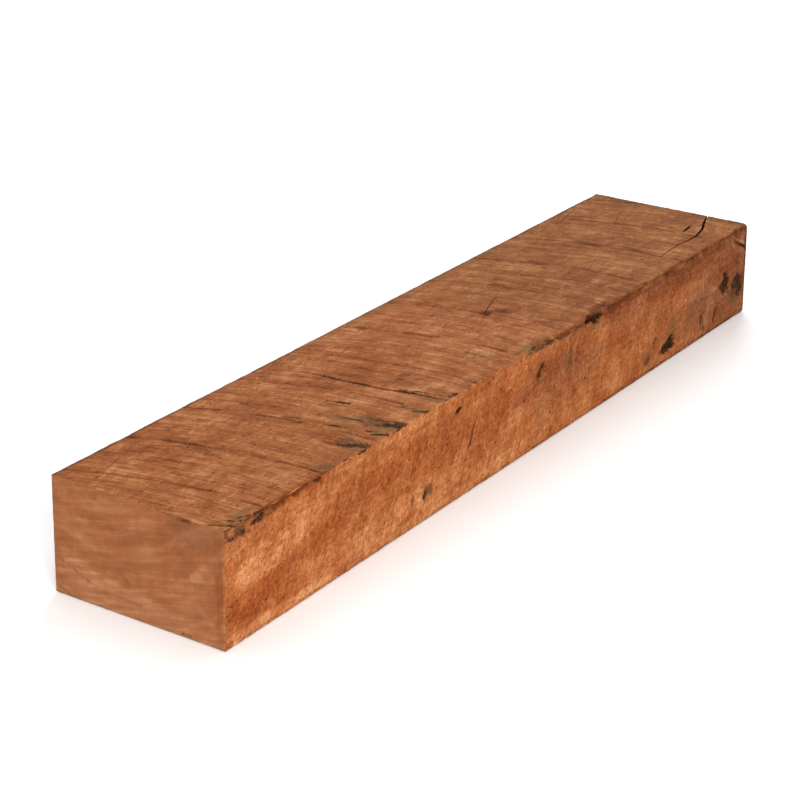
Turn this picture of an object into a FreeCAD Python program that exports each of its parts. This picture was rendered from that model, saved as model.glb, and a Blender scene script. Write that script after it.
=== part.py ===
"""A short length of rough-sawn hardwood fence post, one solid.

Frame: +Y along the post, +X towards the face with the gum pockets, +Z up.
The origin is at the middle of the underside. All sizes are in millimetres.
"""

import FreeCAD, Part
import math
import os
import Sketcher

POST = "hardwood_post"
OUT_FOLDER = "parts"

# The stick as it left the saw: nominal 125 x 75, cut full, and not quite true.
SIZES = {
    "length": 650.0,
    "width": 132.4,
    "width_taper": 2.4,
    "thickness": 75.0,
    "thickness_taper": 3.3,
    "cross_rise": 1.1,
    "arris_radius": 1.0,
    "near_skew": 3.0,
    "near_lean": 2.4,
    "far_skew": 2.3,
    "wear_run": 430.0,
    "wear_leg": 4.0,
    "sawing_margin": 12.0,
    "shake_tip_across": 47.0,
    "shake_tip_back": 105.0,
    "shake_bend_across": 45.0,
    "shake_bend_back": 38.0,
    "shake_bend_gap": 2.0,
    "shake_mouth_across": 26.5,
    "shake_mouth_gap": 1.4,
    "shake_depth": 26.0,
}

# Gum pockets: open lens-shaped hollows. "along" runs from the middle of the post and "other" is
# the place across it, from the centre line on the top and from the underside on the side. "turn"
# is the lens's slant in degrees, from +X on the top and from +Y on the side.
TOP_POCKETS = {
    "top_gum": {"along": 287.0, "other": 33.3, "long": 20.0, "wide": 4.2, "deep": 5.0, "turn": 97.0},
}
SIDE_POCKETS = {
    "arris_gum": {"along": 91.0, "other": 66.9, "long": 24.0, "wide": 5.8, "deep": 4.5, "turn": -3.0},
    "low_gum": {"along": 205.0, "other": 13.0, "long": 18.0, "wide": 9.0, "deep": 3.0, "turn": 25.0},
    "far_gum": {"along": 291.0, "other": 32.0, "long": 13.0, "wide": 9.5, "deep": 3.0, "turn": 50.0},
}

# Values that follow from the driving sizes, as sheet formulas.
DERIVED = {
    "half_length": "=length / 2",
    "half_width": "=width / 2",
    "top_fall": "=thickness_taper / length",
    "top_lift": "=cross_rise / width",
    "near_turn": "=near_skew / (width - width_taper)",
    "near_tip": "=near_lean / thickness",
    "far_turn": "=far_skew / width",
    "mid_height": "=thickness - thickness_taper / 2 + cross_rise / 2",
}


def fill_sheet(doc):
    """Write every driving size into the spreadsheet, one aliased cell to a row."""
    sheet = doc.addObject("Spreadsheet::Sheet", "sizes")
    rows = dict(SIZES)
    for pockets in (TOP_POCKETS, SIDE_POCKETS):
        for name, values in pockets.items():
            rows.update({f"{name}_{key}": value for key, value in values.items()})
    rows.update(DERIVED)
    for row, (alias, value) in enumerate(rows.items(), start=1):
        sheet.set(f"A{row}", alias)
        sheet.set(f"B{row}", str(value))
        sheet.setAlias(f"B{row}", alias)
    doc.recompute()
    return sheet


def cell(alias):
    """The expression that reads one cell of the sheet."""
    return f"sizes.{alias}"


def origin_plane(body, role):
    """The body's own origin plane with that role."""
    return next(item for item in body.Origin.OriginFeatures if item.Role == role)


def new_sketch(body, name, role):
    """A sketch on one of the body's origin planes."""
    sketch = body.newObject("Sketcher::SketchObject", name)
    sketch.AttachmentSupport = [(origin_plane(body, role), "")]
    sketch.MapMode = "FlatFace"
    return sketch


def lay_sketch(sketch, point, normal):
    """Move a sketch on the XY plane to a point and turn it square to a normal."""
    along_x, along_y, along_z = normal
    size = f"sqrt(({along_x})^2 + ({along_y})^2 + ({along_z})^2)"
    axis = f"vector(-({along_y}); {along_x}; 0)"
    turn = f"rotation({axis}; acos(({along_z}) / {size}))"
    place = f"vector({'; '.join(point)})"
    sketch.setExpression("AttachmentOffset", f"placement({place}; {turn})")


def add_point_rules(sketch, name, geometry, end, guess, formulas):
    """Hold one point of a sketch at a place given by two sheet expressions."""
    for kind, axis, start, formula in zip(("DistanceX", "DistanceY"), "xy", guess, formulas):
        rule = sketch.addConstraint(Sketcher.Constraint(kind, -1, 1, geometry, end, start))
        sketch.renameConstraint(rule, f"{name}_{axis}")
        sketch.setExpression(f"Constraints.{name}_{axis}", formula)


def add_outline(sketch, guesses, points):
    """A closed outline of straight lines whose corners follow sheet expressions."""
    count = len(points)
    for index in range(count):
        start = FreeCAD.Vector(*guesses[index], 0)
        stop = FreeCAD.Vector(*guesses[(index + 1) % count], 0)
        sketch.addGeometry(Part.LineSegment(start, stop), False)
    for index in range(count):
        sketch.addConstraint(Sketcher.Constraint("Coincident", index, 2, (index + 1) % count, 1))
    for index, formulas in enumerate(points):
        add_point_rules(sketch, f"corner{index}", index, 1, guesses[index], formulas)


def add_lens(sketch, name, sizes, axes):
    """A lens of two arcs. axes names the cells that place it on the sketch's x and y."""
    middle = FreeCAD.Vector(sizes[axes[0]], sizes[axes[1]], 0)
    spin = math.radians(sizes["turn"])
    reach = FreeCAD.Vector(math.cos(spin), math.sin(spin), 0) * (sizes["long"] / 2)
    swell = FreeCAD.Vector(-math.sin(spin), math.cos(spin), 0) * (sizes["wide"] / 2)
    tail, head = middle - reach, middle + reach
    # Both arcs run counter-clockwise, so they meet head to tail.
    sketch.addGeometry(Part.Arc(tail, middle - swell, head), False)
    sketch.addGeometry(Part.Arc(head, middle + swell, tail), False)
    sketch.addConstraint(Sketcher.Constraint("Coincident", 0, 2, 1, 1))
    sketch.addConstraint(Sketcher.Constraint("Coincident", 1, 2, 0, 1))
    across, up, long, wide, turn = (
        cell(f"{name}_{key}") for key in (*axes, "long", "wide", "turn")
    )
    half_x = f"{long} / 2 * cos({turn} * 1deg)"
    half_y = f"{long} / 2 * sin({turn} * 1deg)"
    tips = (("tail", 1, tail, "-"), ("head", 2, head, "+"))
    for label, end, guess, sign in tips:
        formulas = (f"{across} {sign} {half_x}", f"{up} {sign} {half_y}")
        add_point_rules(sketch, label, 0, end, (guess.x, guess.y), formulas)
    radius = (sizes["long"] ** 2 + sizes["wide"] ** 2) / (4 * sizes["wide"])
    for index, label in enumerate(("lower", "upper")):
        rule = sketch.addConstraint(Sketcher.Constraint("Radius", index, radius))
        sketch.renameConstraint(rule, label)
        sketch.setExpression(f"Constraints.{label}", f"({long}^2 + {wide}^2) / (4 * {wide})")


def cut(doc, body, sketch, name, depth=None, outward=False):
    """Pocket a sketch into the body, and stop if it took nothing away."""
    before = body.Shape.Volume
    pocket = body.newObject("PartDesign::Pocket", name)
    pocket.Profile = sketch
    pocket.Reversed = outward
    if depth is None:
        pocket.Type = "ThroughAll"
    else:
        pocket.Type = "Length"
        pocket.setExpression("Length", depth)
    doc.recompute()
    taken = before - body.Shape.Volume
    if taken <= 0:
        raise RuntimeError(f"{name} took no wood away")
    print(f"{name}: {taken:.0f} cubic mm")
    return pocket


def trim(doc, body, name, point, normal):
    """Saw off what lies beyond a plane, whose normal points at the offcut."""
    sketch = new_sketch(body, f"{name}_plane", "XY_Plane")
    side = SIZES["length"]
    corners = [("-", "-"), ("", "-"), ("", ""), ("-", "")]
    guesses = [(float(f"{x}1") * side, float(f"{y}1") * side) for x, y in corners]
    points = [(x + cell("length"), y + cell("length")) for x, y in corners]
    add_outline(sketch, guesses, points)
    lay_sketch(sketch, point, normal)
    return cut(doc, body, sketch, name, outward=True)


def rough_stick(doc, body):
    """The tapered blank, a little long and thick, ready to be trimmed."""
    sketch = new_sketch(body, "plan", "XY_Plane")
    half_x, half_y = SIZES["width"] / 2, SIZES["length"] / 2
    guesses = [(-half_x, -half_y), (half_x, -half_y), (half_x, half_y), (-half_x, half_y)]
    right, end = cell("half_width"), f"({cell('half_length')} + {cell('sawing_margin')})"
    slip = f"{cell('width_taper')} * {cell('sawing_margin')} / {cell('length')}"
    points = [
        (f"-{right} + {cell('width_taper')} + {slip}", f"-{end}"),
        (right, f"-{end}"),
        (right, end),
        (f"-{right} - {slip}", end),
    ]
    add_outline(sketch, guesses, points)
    pad = body.newObject("PartDesign::Pad", "blank")
    pad.Profile = sketch
    pad.setExpression("Length", f"{cell('thickness')} + {cell('sawing_margin')}")
    doc.recompute()


def top_plane():
    """A point and the normal of the sloping top face."""
    point = ("0", "0", cell("mid_height"))
    normal = (cell("top_lift"), cell("top_fall"), "1")
    return point, normal


def saw_faces(doc, body):
    """The sloping top face, the eased long arrises and the two crosscuts."""
    top = trim(doc, body, "top_face", *top_plane())
    long_edges = [
        f"Edge{index}"
        for index, edge in enumerate(top.Shape.Edges, start=1)
        if edge.Length > SIZES["length"]
    ]
    arrises = body.newObject("PartDesign::Fillet", "arrises")
    arrises.Base = (top, long_edges)
    arrises.setExpression("Radius", cell("arris_radius"))
    doc.recompute()
    trim(
        doc, body, "near_cut",
        (cell("half_width"), f"-{cell('half_length')}", "0"),
        (f"-{cell('near_turn')}", "-1", cell("near_tip")),
    )
    trim(
        doc, body, "far_cut",
        (cell("half_width"), cell("half_length"), "0"),
        (f"-{cell('far_turn')}", "1", "0"),
    )


def wear_arris(doc, body):
    """The top arris on the pocketed side, knocked off more and more towards the far end."""
    run, leg = cell("wear_run"), cell("wear_leg")
    start = f"({cell('half_length')} - {run})"
    height = (
        f"{cell('mid_height')} - {cell('cross_rise')} / 2 - {cell('top_fall')} * {start}"
    )
    normal = (run, f"{leg} + {cell('top_fall')} * {run}", run)
    trim(doc, body, "worn_arris", (cell("half_width"), start, height), normal)


def end_shake(doc, body):
    """The seasoning split that opens out through the far end of the top face."""
    sketch = new_sketch(body, "shake_outline", "XY_Plane")
    end = cell("half_length")
    tip, bend, mouth = (cell(f"shake_{key}_across") for key in ("tip", "bend", "mouth"))
    bend_gap, mouth_gap = f"{cell('shake_bend_gap')} / 2", f"{cell('shake_mouth_gap')} / 2"
    back = f"{end} - {cell('shake_bend_back')}"
    beyond = f"{end} + {cell('sawing_margin')}"
    points = [
        (tip, f"{end} - {cell('shake_tip_back')}"),
        (f"{bend} + {bend_gap}", back),
        (f"{mouth} + {mouth_gap}", beyond),
        (f"{mouth} - {mouth_gap}", beyond),
        (f"{bend} - {bend_gap}", back),
    ]
    guesses = [(47, 220), (46, 287), (27, 337), (26, 337), (44, 287)]
    add_outline(sketch, guesses, points)
    lay_sketch(sketch, *top_plane())
    cut(doc, body, sketch, "end_shake", depth=cell("shake_depth"))


def gum_pockets(doc, body):
    """The open gum pockets of the top and of the side."""
    for name, sizes in TOP_POCKETS.items():
        sketch = new_sketch(body, f"{name}_outline", "XY_Plane")
        add_lens(sketch, name, sizes, ("other", "along"))
        lay_sketch(sketch, *top_plane())
        cut(doc, body, sketch, name, depth=cell(f"{name}_deep"))
    for name, sizes in SIDE_POCKETS.items():
        sketch = new_sketch(body, f"{name}_outline", "YZ_Plane")
        add_lens(sketch, name, sizes, ("along", "other"))
        sketch.setExpression("AttachmentOffset.Base.z", cell("half_width"))
        cut(doc, body, sketch, name, depth=cell(f"{name}_deep"))


def check_document(doc):
    """Stop on any object that failed without raising."""
    for item in doc.Objects:
        if "Invalid" in item.State or "Error" in item.State:
            raise RuntimeError(f"{item.Name} failed: {item.State}")


def main():
    """Build the post and write its solid."""
    doc = FreeCAD.newDocument("post")
    fill_sheet(doc)
    body = doc.addObject("PartDesign::Body", POST)
    body.Label = POST
    rough_stick(doc, body)
    saw_faces(doc, body)
    wear_arris(doc, body)
    end_shake(doc, body)
    gum_pockets(doc, body)
    doc.recompute()
    check_document(doc)
    shape = body.Shape
    if shape.isNull() or not shape.isValid() or len(shape.Solids) != 1:
        raise RuntimeError(f"{body.Label} is not one valid solid")
    box = shape.BoundBox
    print(f"box {box.XMin:.2f} {box.YMin:.2f} {box.ZMin:.2f} to {box.XMax:.2f} {box.YMax:.2f} {box.ZMax:.2f}")
    print(f"volume {shape.Volume:.0f} cubic mm")
    os.makedirs(OUT_FOLDER, exist_ok=True)
    shape.exportStep(os.path.join(OUT_FOLDER, f"{body.Label}.step"))


main()
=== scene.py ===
"""The look of one short, rough-sawn stick of red hardwood post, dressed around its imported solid.

+Y runs along the post from the near crosscut to the split end, +X is the side with the gum
pockets and +Z is up. The timber is described in millimetres, as a sawyer would, and Blender gets
metres.
"""
import logging
import math
from dataclasses import dataclass, field
from enum import Enum
from typing import Callable, Iterable, Optional, Sequence, Union

import bpy
import numpy as np
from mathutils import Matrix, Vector


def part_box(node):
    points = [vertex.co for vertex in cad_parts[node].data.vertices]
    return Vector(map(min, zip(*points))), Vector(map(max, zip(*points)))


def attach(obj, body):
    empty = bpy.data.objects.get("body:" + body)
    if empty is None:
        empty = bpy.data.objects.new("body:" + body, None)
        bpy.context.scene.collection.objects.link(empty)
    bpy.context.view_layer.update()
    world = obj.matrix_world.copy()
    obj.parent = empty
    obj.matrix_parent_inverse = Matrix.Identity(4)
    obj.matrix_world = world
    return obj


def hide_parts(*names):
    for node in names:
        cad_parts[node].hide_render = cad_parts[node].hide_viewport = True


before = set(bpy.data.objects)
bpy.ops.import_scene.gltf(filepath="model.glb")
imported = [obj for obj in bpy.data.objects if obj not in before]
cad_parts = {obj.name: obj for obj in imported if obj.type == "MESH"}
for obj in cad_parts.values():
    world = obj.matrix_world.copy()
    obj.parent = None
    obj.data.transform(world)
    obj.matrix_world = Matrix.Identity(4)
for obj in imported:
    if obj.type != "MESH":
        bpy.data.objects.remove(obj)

MM = 0.001
NODE = "hardwood_post"
LOG = logging.getLogger("post")

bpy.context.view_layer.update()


class Face(Enum):
    """The six faces of the stick, in the order of its material slots, and the way each looks."""

    TOP = (0, 0, 1)
    POCKETED = (1, 0, 0)
    BACK = (-1, 0, 0)
    UNDER = (0, 0, -1)
    NEAR = (0, -1, 0)
    FAR = (0, 1, 0)

    def facing(self, normals: np.ndarray) -> np.ndarray:
        """How squarely each of N normals looks the way of this face, -1 to 1."""
        return normals @ np.array(self.value, float)

    def plan(self, points: np.ndarray) -> np.ndarray:
        """Where points lie on the face's own plan.

        Args:
            points: N x 3 points, in millimetres.

        Returns:
            N x 3 places: along, other and nought.
        """
        along = points[:, 2] if self in CROSSCUTS else points[:, 1]
        other = points[:, 2] if self in (Face.POCKETED, Face.BACK) else points[:, 0]
        return np.stack([along, other, np.zeros(len(points))], axis=1)


CROSSCUTS = (Face.NEAR, Face.FAR)


class Layer(Enum):
    """What a mark is, and the name of the mesh layer that carries it to the finish."""

    # The gum, stain and brown layers also carry a few lines of painted shade and shadow along edges,
    # marked where they are listed.
    GUM = "gum"
    STAIN = "stain"
    BROWN = "brown"
    STRAW = "straw"
    RUST = "rust"
    # Painted shade, together with a duller, greyer tone of the wood: broad patches, most towards the far
    # end.
    DUSK = "dusk"
    WEAR = "wear"


# ------------------------------------------------------------------------------ numbers


def srgb(red: int, green: int, blue: int) -> tuple[float, float, float, float]:
    """A paint-chart colour, 0 to 255 a channel, as the linear colour that shaders take.

    Args:
        red: red, 0 to 255.
        green: green, 0 to 255.
        blue: blue, 0 to 255.

    Returns:
        The linear colour with full alpha.
    """
    linear = []
    for value in (red, green, blue):
        share = value / 255
        linear.append(share / 12.92 if share <= 0.04045 else ((share + 0.055) / 1.055) ** 2.4)
    return (*linear, 1.0)


def ease(value: np.ndarray, low: float, high: float) -> np.ndarray:
    """A smooth step from 0 at low to 1 at high. It falls where low is above high.

    Args:
        value: the numbers to step.
        low: where the step starts.
        high: where it ends.

    Returns:
        The stepped numbers, 0 to 1.
    """
    share = np.clip((value - low) / (high - low), 0.0, 1.0)
    return share * share * (3.0 - 2.0 * share)


class Wobble:
    """Smooth noise in space, the same on every run."""

    SIDE = 64

    def __init__(self, seed: int) -> None:
        """Fill the noise lattice.

        Args:
            seed: which noise it is.
        """
        self.lattice = np.random.default_rng(seed).uniform(-1.0, 1.0, (self.SIDE,) * 3)

    def __call__(self, points: np.ndarray, size: Sequence[float], octaves: int = 1) -> np.ndarray:
        """Read the noise.

        Args:
            points: an N x 3 array of places.
            size: the size of one lump along each axis, in the units of the points.
            octaves: how many finer copies are added, each half as large and half as strong.

        Returns:
            N numbers, about -1 to 1.
        """
        total, weight, scale = np.zeros(len(points)), 0.0, 1.0
        for octave in range(octaves):
            total += scale * self._read(points / np.array(size) / scale + 17.3 * octave)
            weight += scale
            scale *= 0.5
        return total / weight

    def _read(self, places: np.ndarray) -> np.ndarray:
        """One octave of the noise.

        Args:
            places: N x 3 places, in lattice cells.

        Returns:
            N numbers, -1 to 1.
        """
        cell = np.floor(places).astype(int)
        share = places - cell
        share = share * share * (3.0 - 2.0 * share)
        value = np.zeros(len(places))
        for corner in np.ndindex(2, 2, 2):
            pick = (cell + np.array(corner)) % self.SIDE
            near = np.where(np.array(corner) == 1, share, 1.0 - share)
            value += self.lattice[pick[:, 0], pick[:, 1], pick[:, 2]] * near.prod(axis=1)
        return value


# ------------------------------------------------------------------------------ marks


# A mark and a line fade from nothing to full strength between these shares of their half width.
MARK_EDGE = (1.25, 0.55)
LINE_EDGE = (1.5, 0.6)

FINEST_LUMP = 1.5
LINE_CLEARANCE = 6.0
LINE_DRIFT = 0.5
LINE_DRIFT_SIZE = (9.0, 9.0, 9.0)
LINE_GAP_SIZE = (5.0, 5.0, 5.0)
LINE_GAP_LEVEL = 0.3


@dataclass(frozen=True)
class Mark:
    """An oval, ragged-edged mark on one face, in millimetres and degrees.

    "along" is y, or z on the ends. "other" is x, or z on the sides.
    """

    face: Face
    layer: Layer
    along: float
    other: float
    long: float
    wide: float
    turn: float = 0.0
    strength: float = 1.0
    depth: float = 0.0
    ragged: float = 0.35

    def amount(self, flat: np.ndarray, wobble: Wobble) -> np.ndarray:
        """How strongly the mark shows at each place of its face.

        Args:
            flat: an N x 3 array of (along, other, 0) places.
            wobble: the noise that roughens its edge.

        Returns:
            N strengths, 0 to 1.
        """
        spin = math.radians(self.turn)
        along, other = flat[:, 0] - self.along, flat[:, 1] - self.other
        u = (along * math.cos(spin) + other * math.sin(spin)) / (self.long / 2)
        v = (other * math.cos(spin) - along * math.sin(spin)) / (self.wide / 2)
        reach = np.hypot(u, v)
        near = np.flatnonzero(reach < MARK_EDGE[0] + self.ragged)
        lump = max(FINEST_LUMP, min(self.long, self.wide) / 3)
        lumps = (min(self.long / 3, 3 * lump) + 0.1, min(self.wide / 3, 3 * lump) + 0.1, 1.0)
        reach = reach[near] + self.ragged * wobble(flat[near], lumps, octaves=2)
        shown = np.zeros(len(flat))
        shown[near] = self.strength * ease(reach, *MARK_EDGE)
        return shown


@dataclass(frozen=True)
class Vein:
    """A thin line on one face, through given points: (along, other, width, strength)."""

    face: Face
    layer: Layer
    points: tuple[tuple[float, float, float, float], ...]
    depth: float = 0.0
    broken: float = 0.5

    def amount(self, flat: np.ndarray, wobble: Wobble) -> np.ndarray:
        """How strongly the line shows at each place of its face.

        Args:
            flat: an N x 3 array of (along, other, 0) places.
            wobble: the noise that breaks it up and makes it wander.

        Returns:
            N strengths, 0 to 1.
        """
        shown = np.zeros(len(flat))
        corners = np.array([point[:2] for point in self.points], float)
        low, high = corners.min(0) - LINE_CLEARANCE, corners.max(0) + LINE_CLEARANCE
        near = np.flatnonzero(((flat[:, :2] >= low) & (flat[:, :2] <= high)).all(1))
        flat = flat[near]
        best = np.zeros(len(flat))
        drift = wobble(flat, LINE_DRIFT_SIZE, octaves=2)
        gaps = wobble(flat, LINE_GAP_SIZE, octaves=2)
        for start, stop in zip(self.points, self.points[1:]):
            first, span = np.array(start[:2]), np.array(stop[:2]) - np.array(start[:2])
            share = np.clip((flat[:, :2] - first) @ span / (span @ span), 0.0, 1.0)
            away = np.hypot(*(flat[:, :2] - first - share[:, None] * span).T)
            away = np.abs(away + LINE_DRIFT * drift)
            half = (start[2] + (stop[2] - start[2]) * share) / 2
            strong = start[3] + (stop[3] - start[3]) * share
            best = np.maximum(best, ease(away / half, *LINE_EDGE) * strong)
        shown[near] = best * np.clip(1.0 - self.broken * (LINE_GAP_LEVEL - gaps), 0.0, 1.0)
        return shown


@dataclass(frozen=True)
class Split:
    """A drying split in the top: a wedge cut along (along, other, gap) points."""

    points: tuple[tuple[float, float, float], ...]
    depth: float


def clouds(face: Face, layer: Layer, *rows: tuple[float, ...], ragged: float = 0.55) -> list[Mark]:
    """Several broad, soft patches of one layer.

    Args:
        face: the face they lie on.
        layer: what they are.
        rows: (along, other, long, wide, turn, strength) of each.
        ragged: how far their edges wander.

    Returns:
        The marks.
    """
    return [Mark(face, layer, *row, ragged=ragged) for row in rows]


def spots(face: Face, layer: Layer, *rows: tuple[float, ...]) -> list[Mark]:
    """Several small marks of one layer, pressed in or not.

    Args:
        face: the face they lie on.
        layer: what they are.
        rows: (along, other, long, wide, turn, strength, depth, ragged) of each.

    Returns:
        The marks.
    """
    return [Mark(face, layer, *row) for row in rows]


def veins(face: Face, layer: Layer, *rows: tuple) -> list[Vein]:
    """Several thin lines of one layer.

    Args:
        face: the face they lie on.
        layer: what they are.
        rows: the depth and the brokenness of each, and then its points.

    Returns:
        The lines.
    """
    return [Vein(face, layer, tuple(points), depth, broken) for depth, broken, *points in rows]


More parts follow.
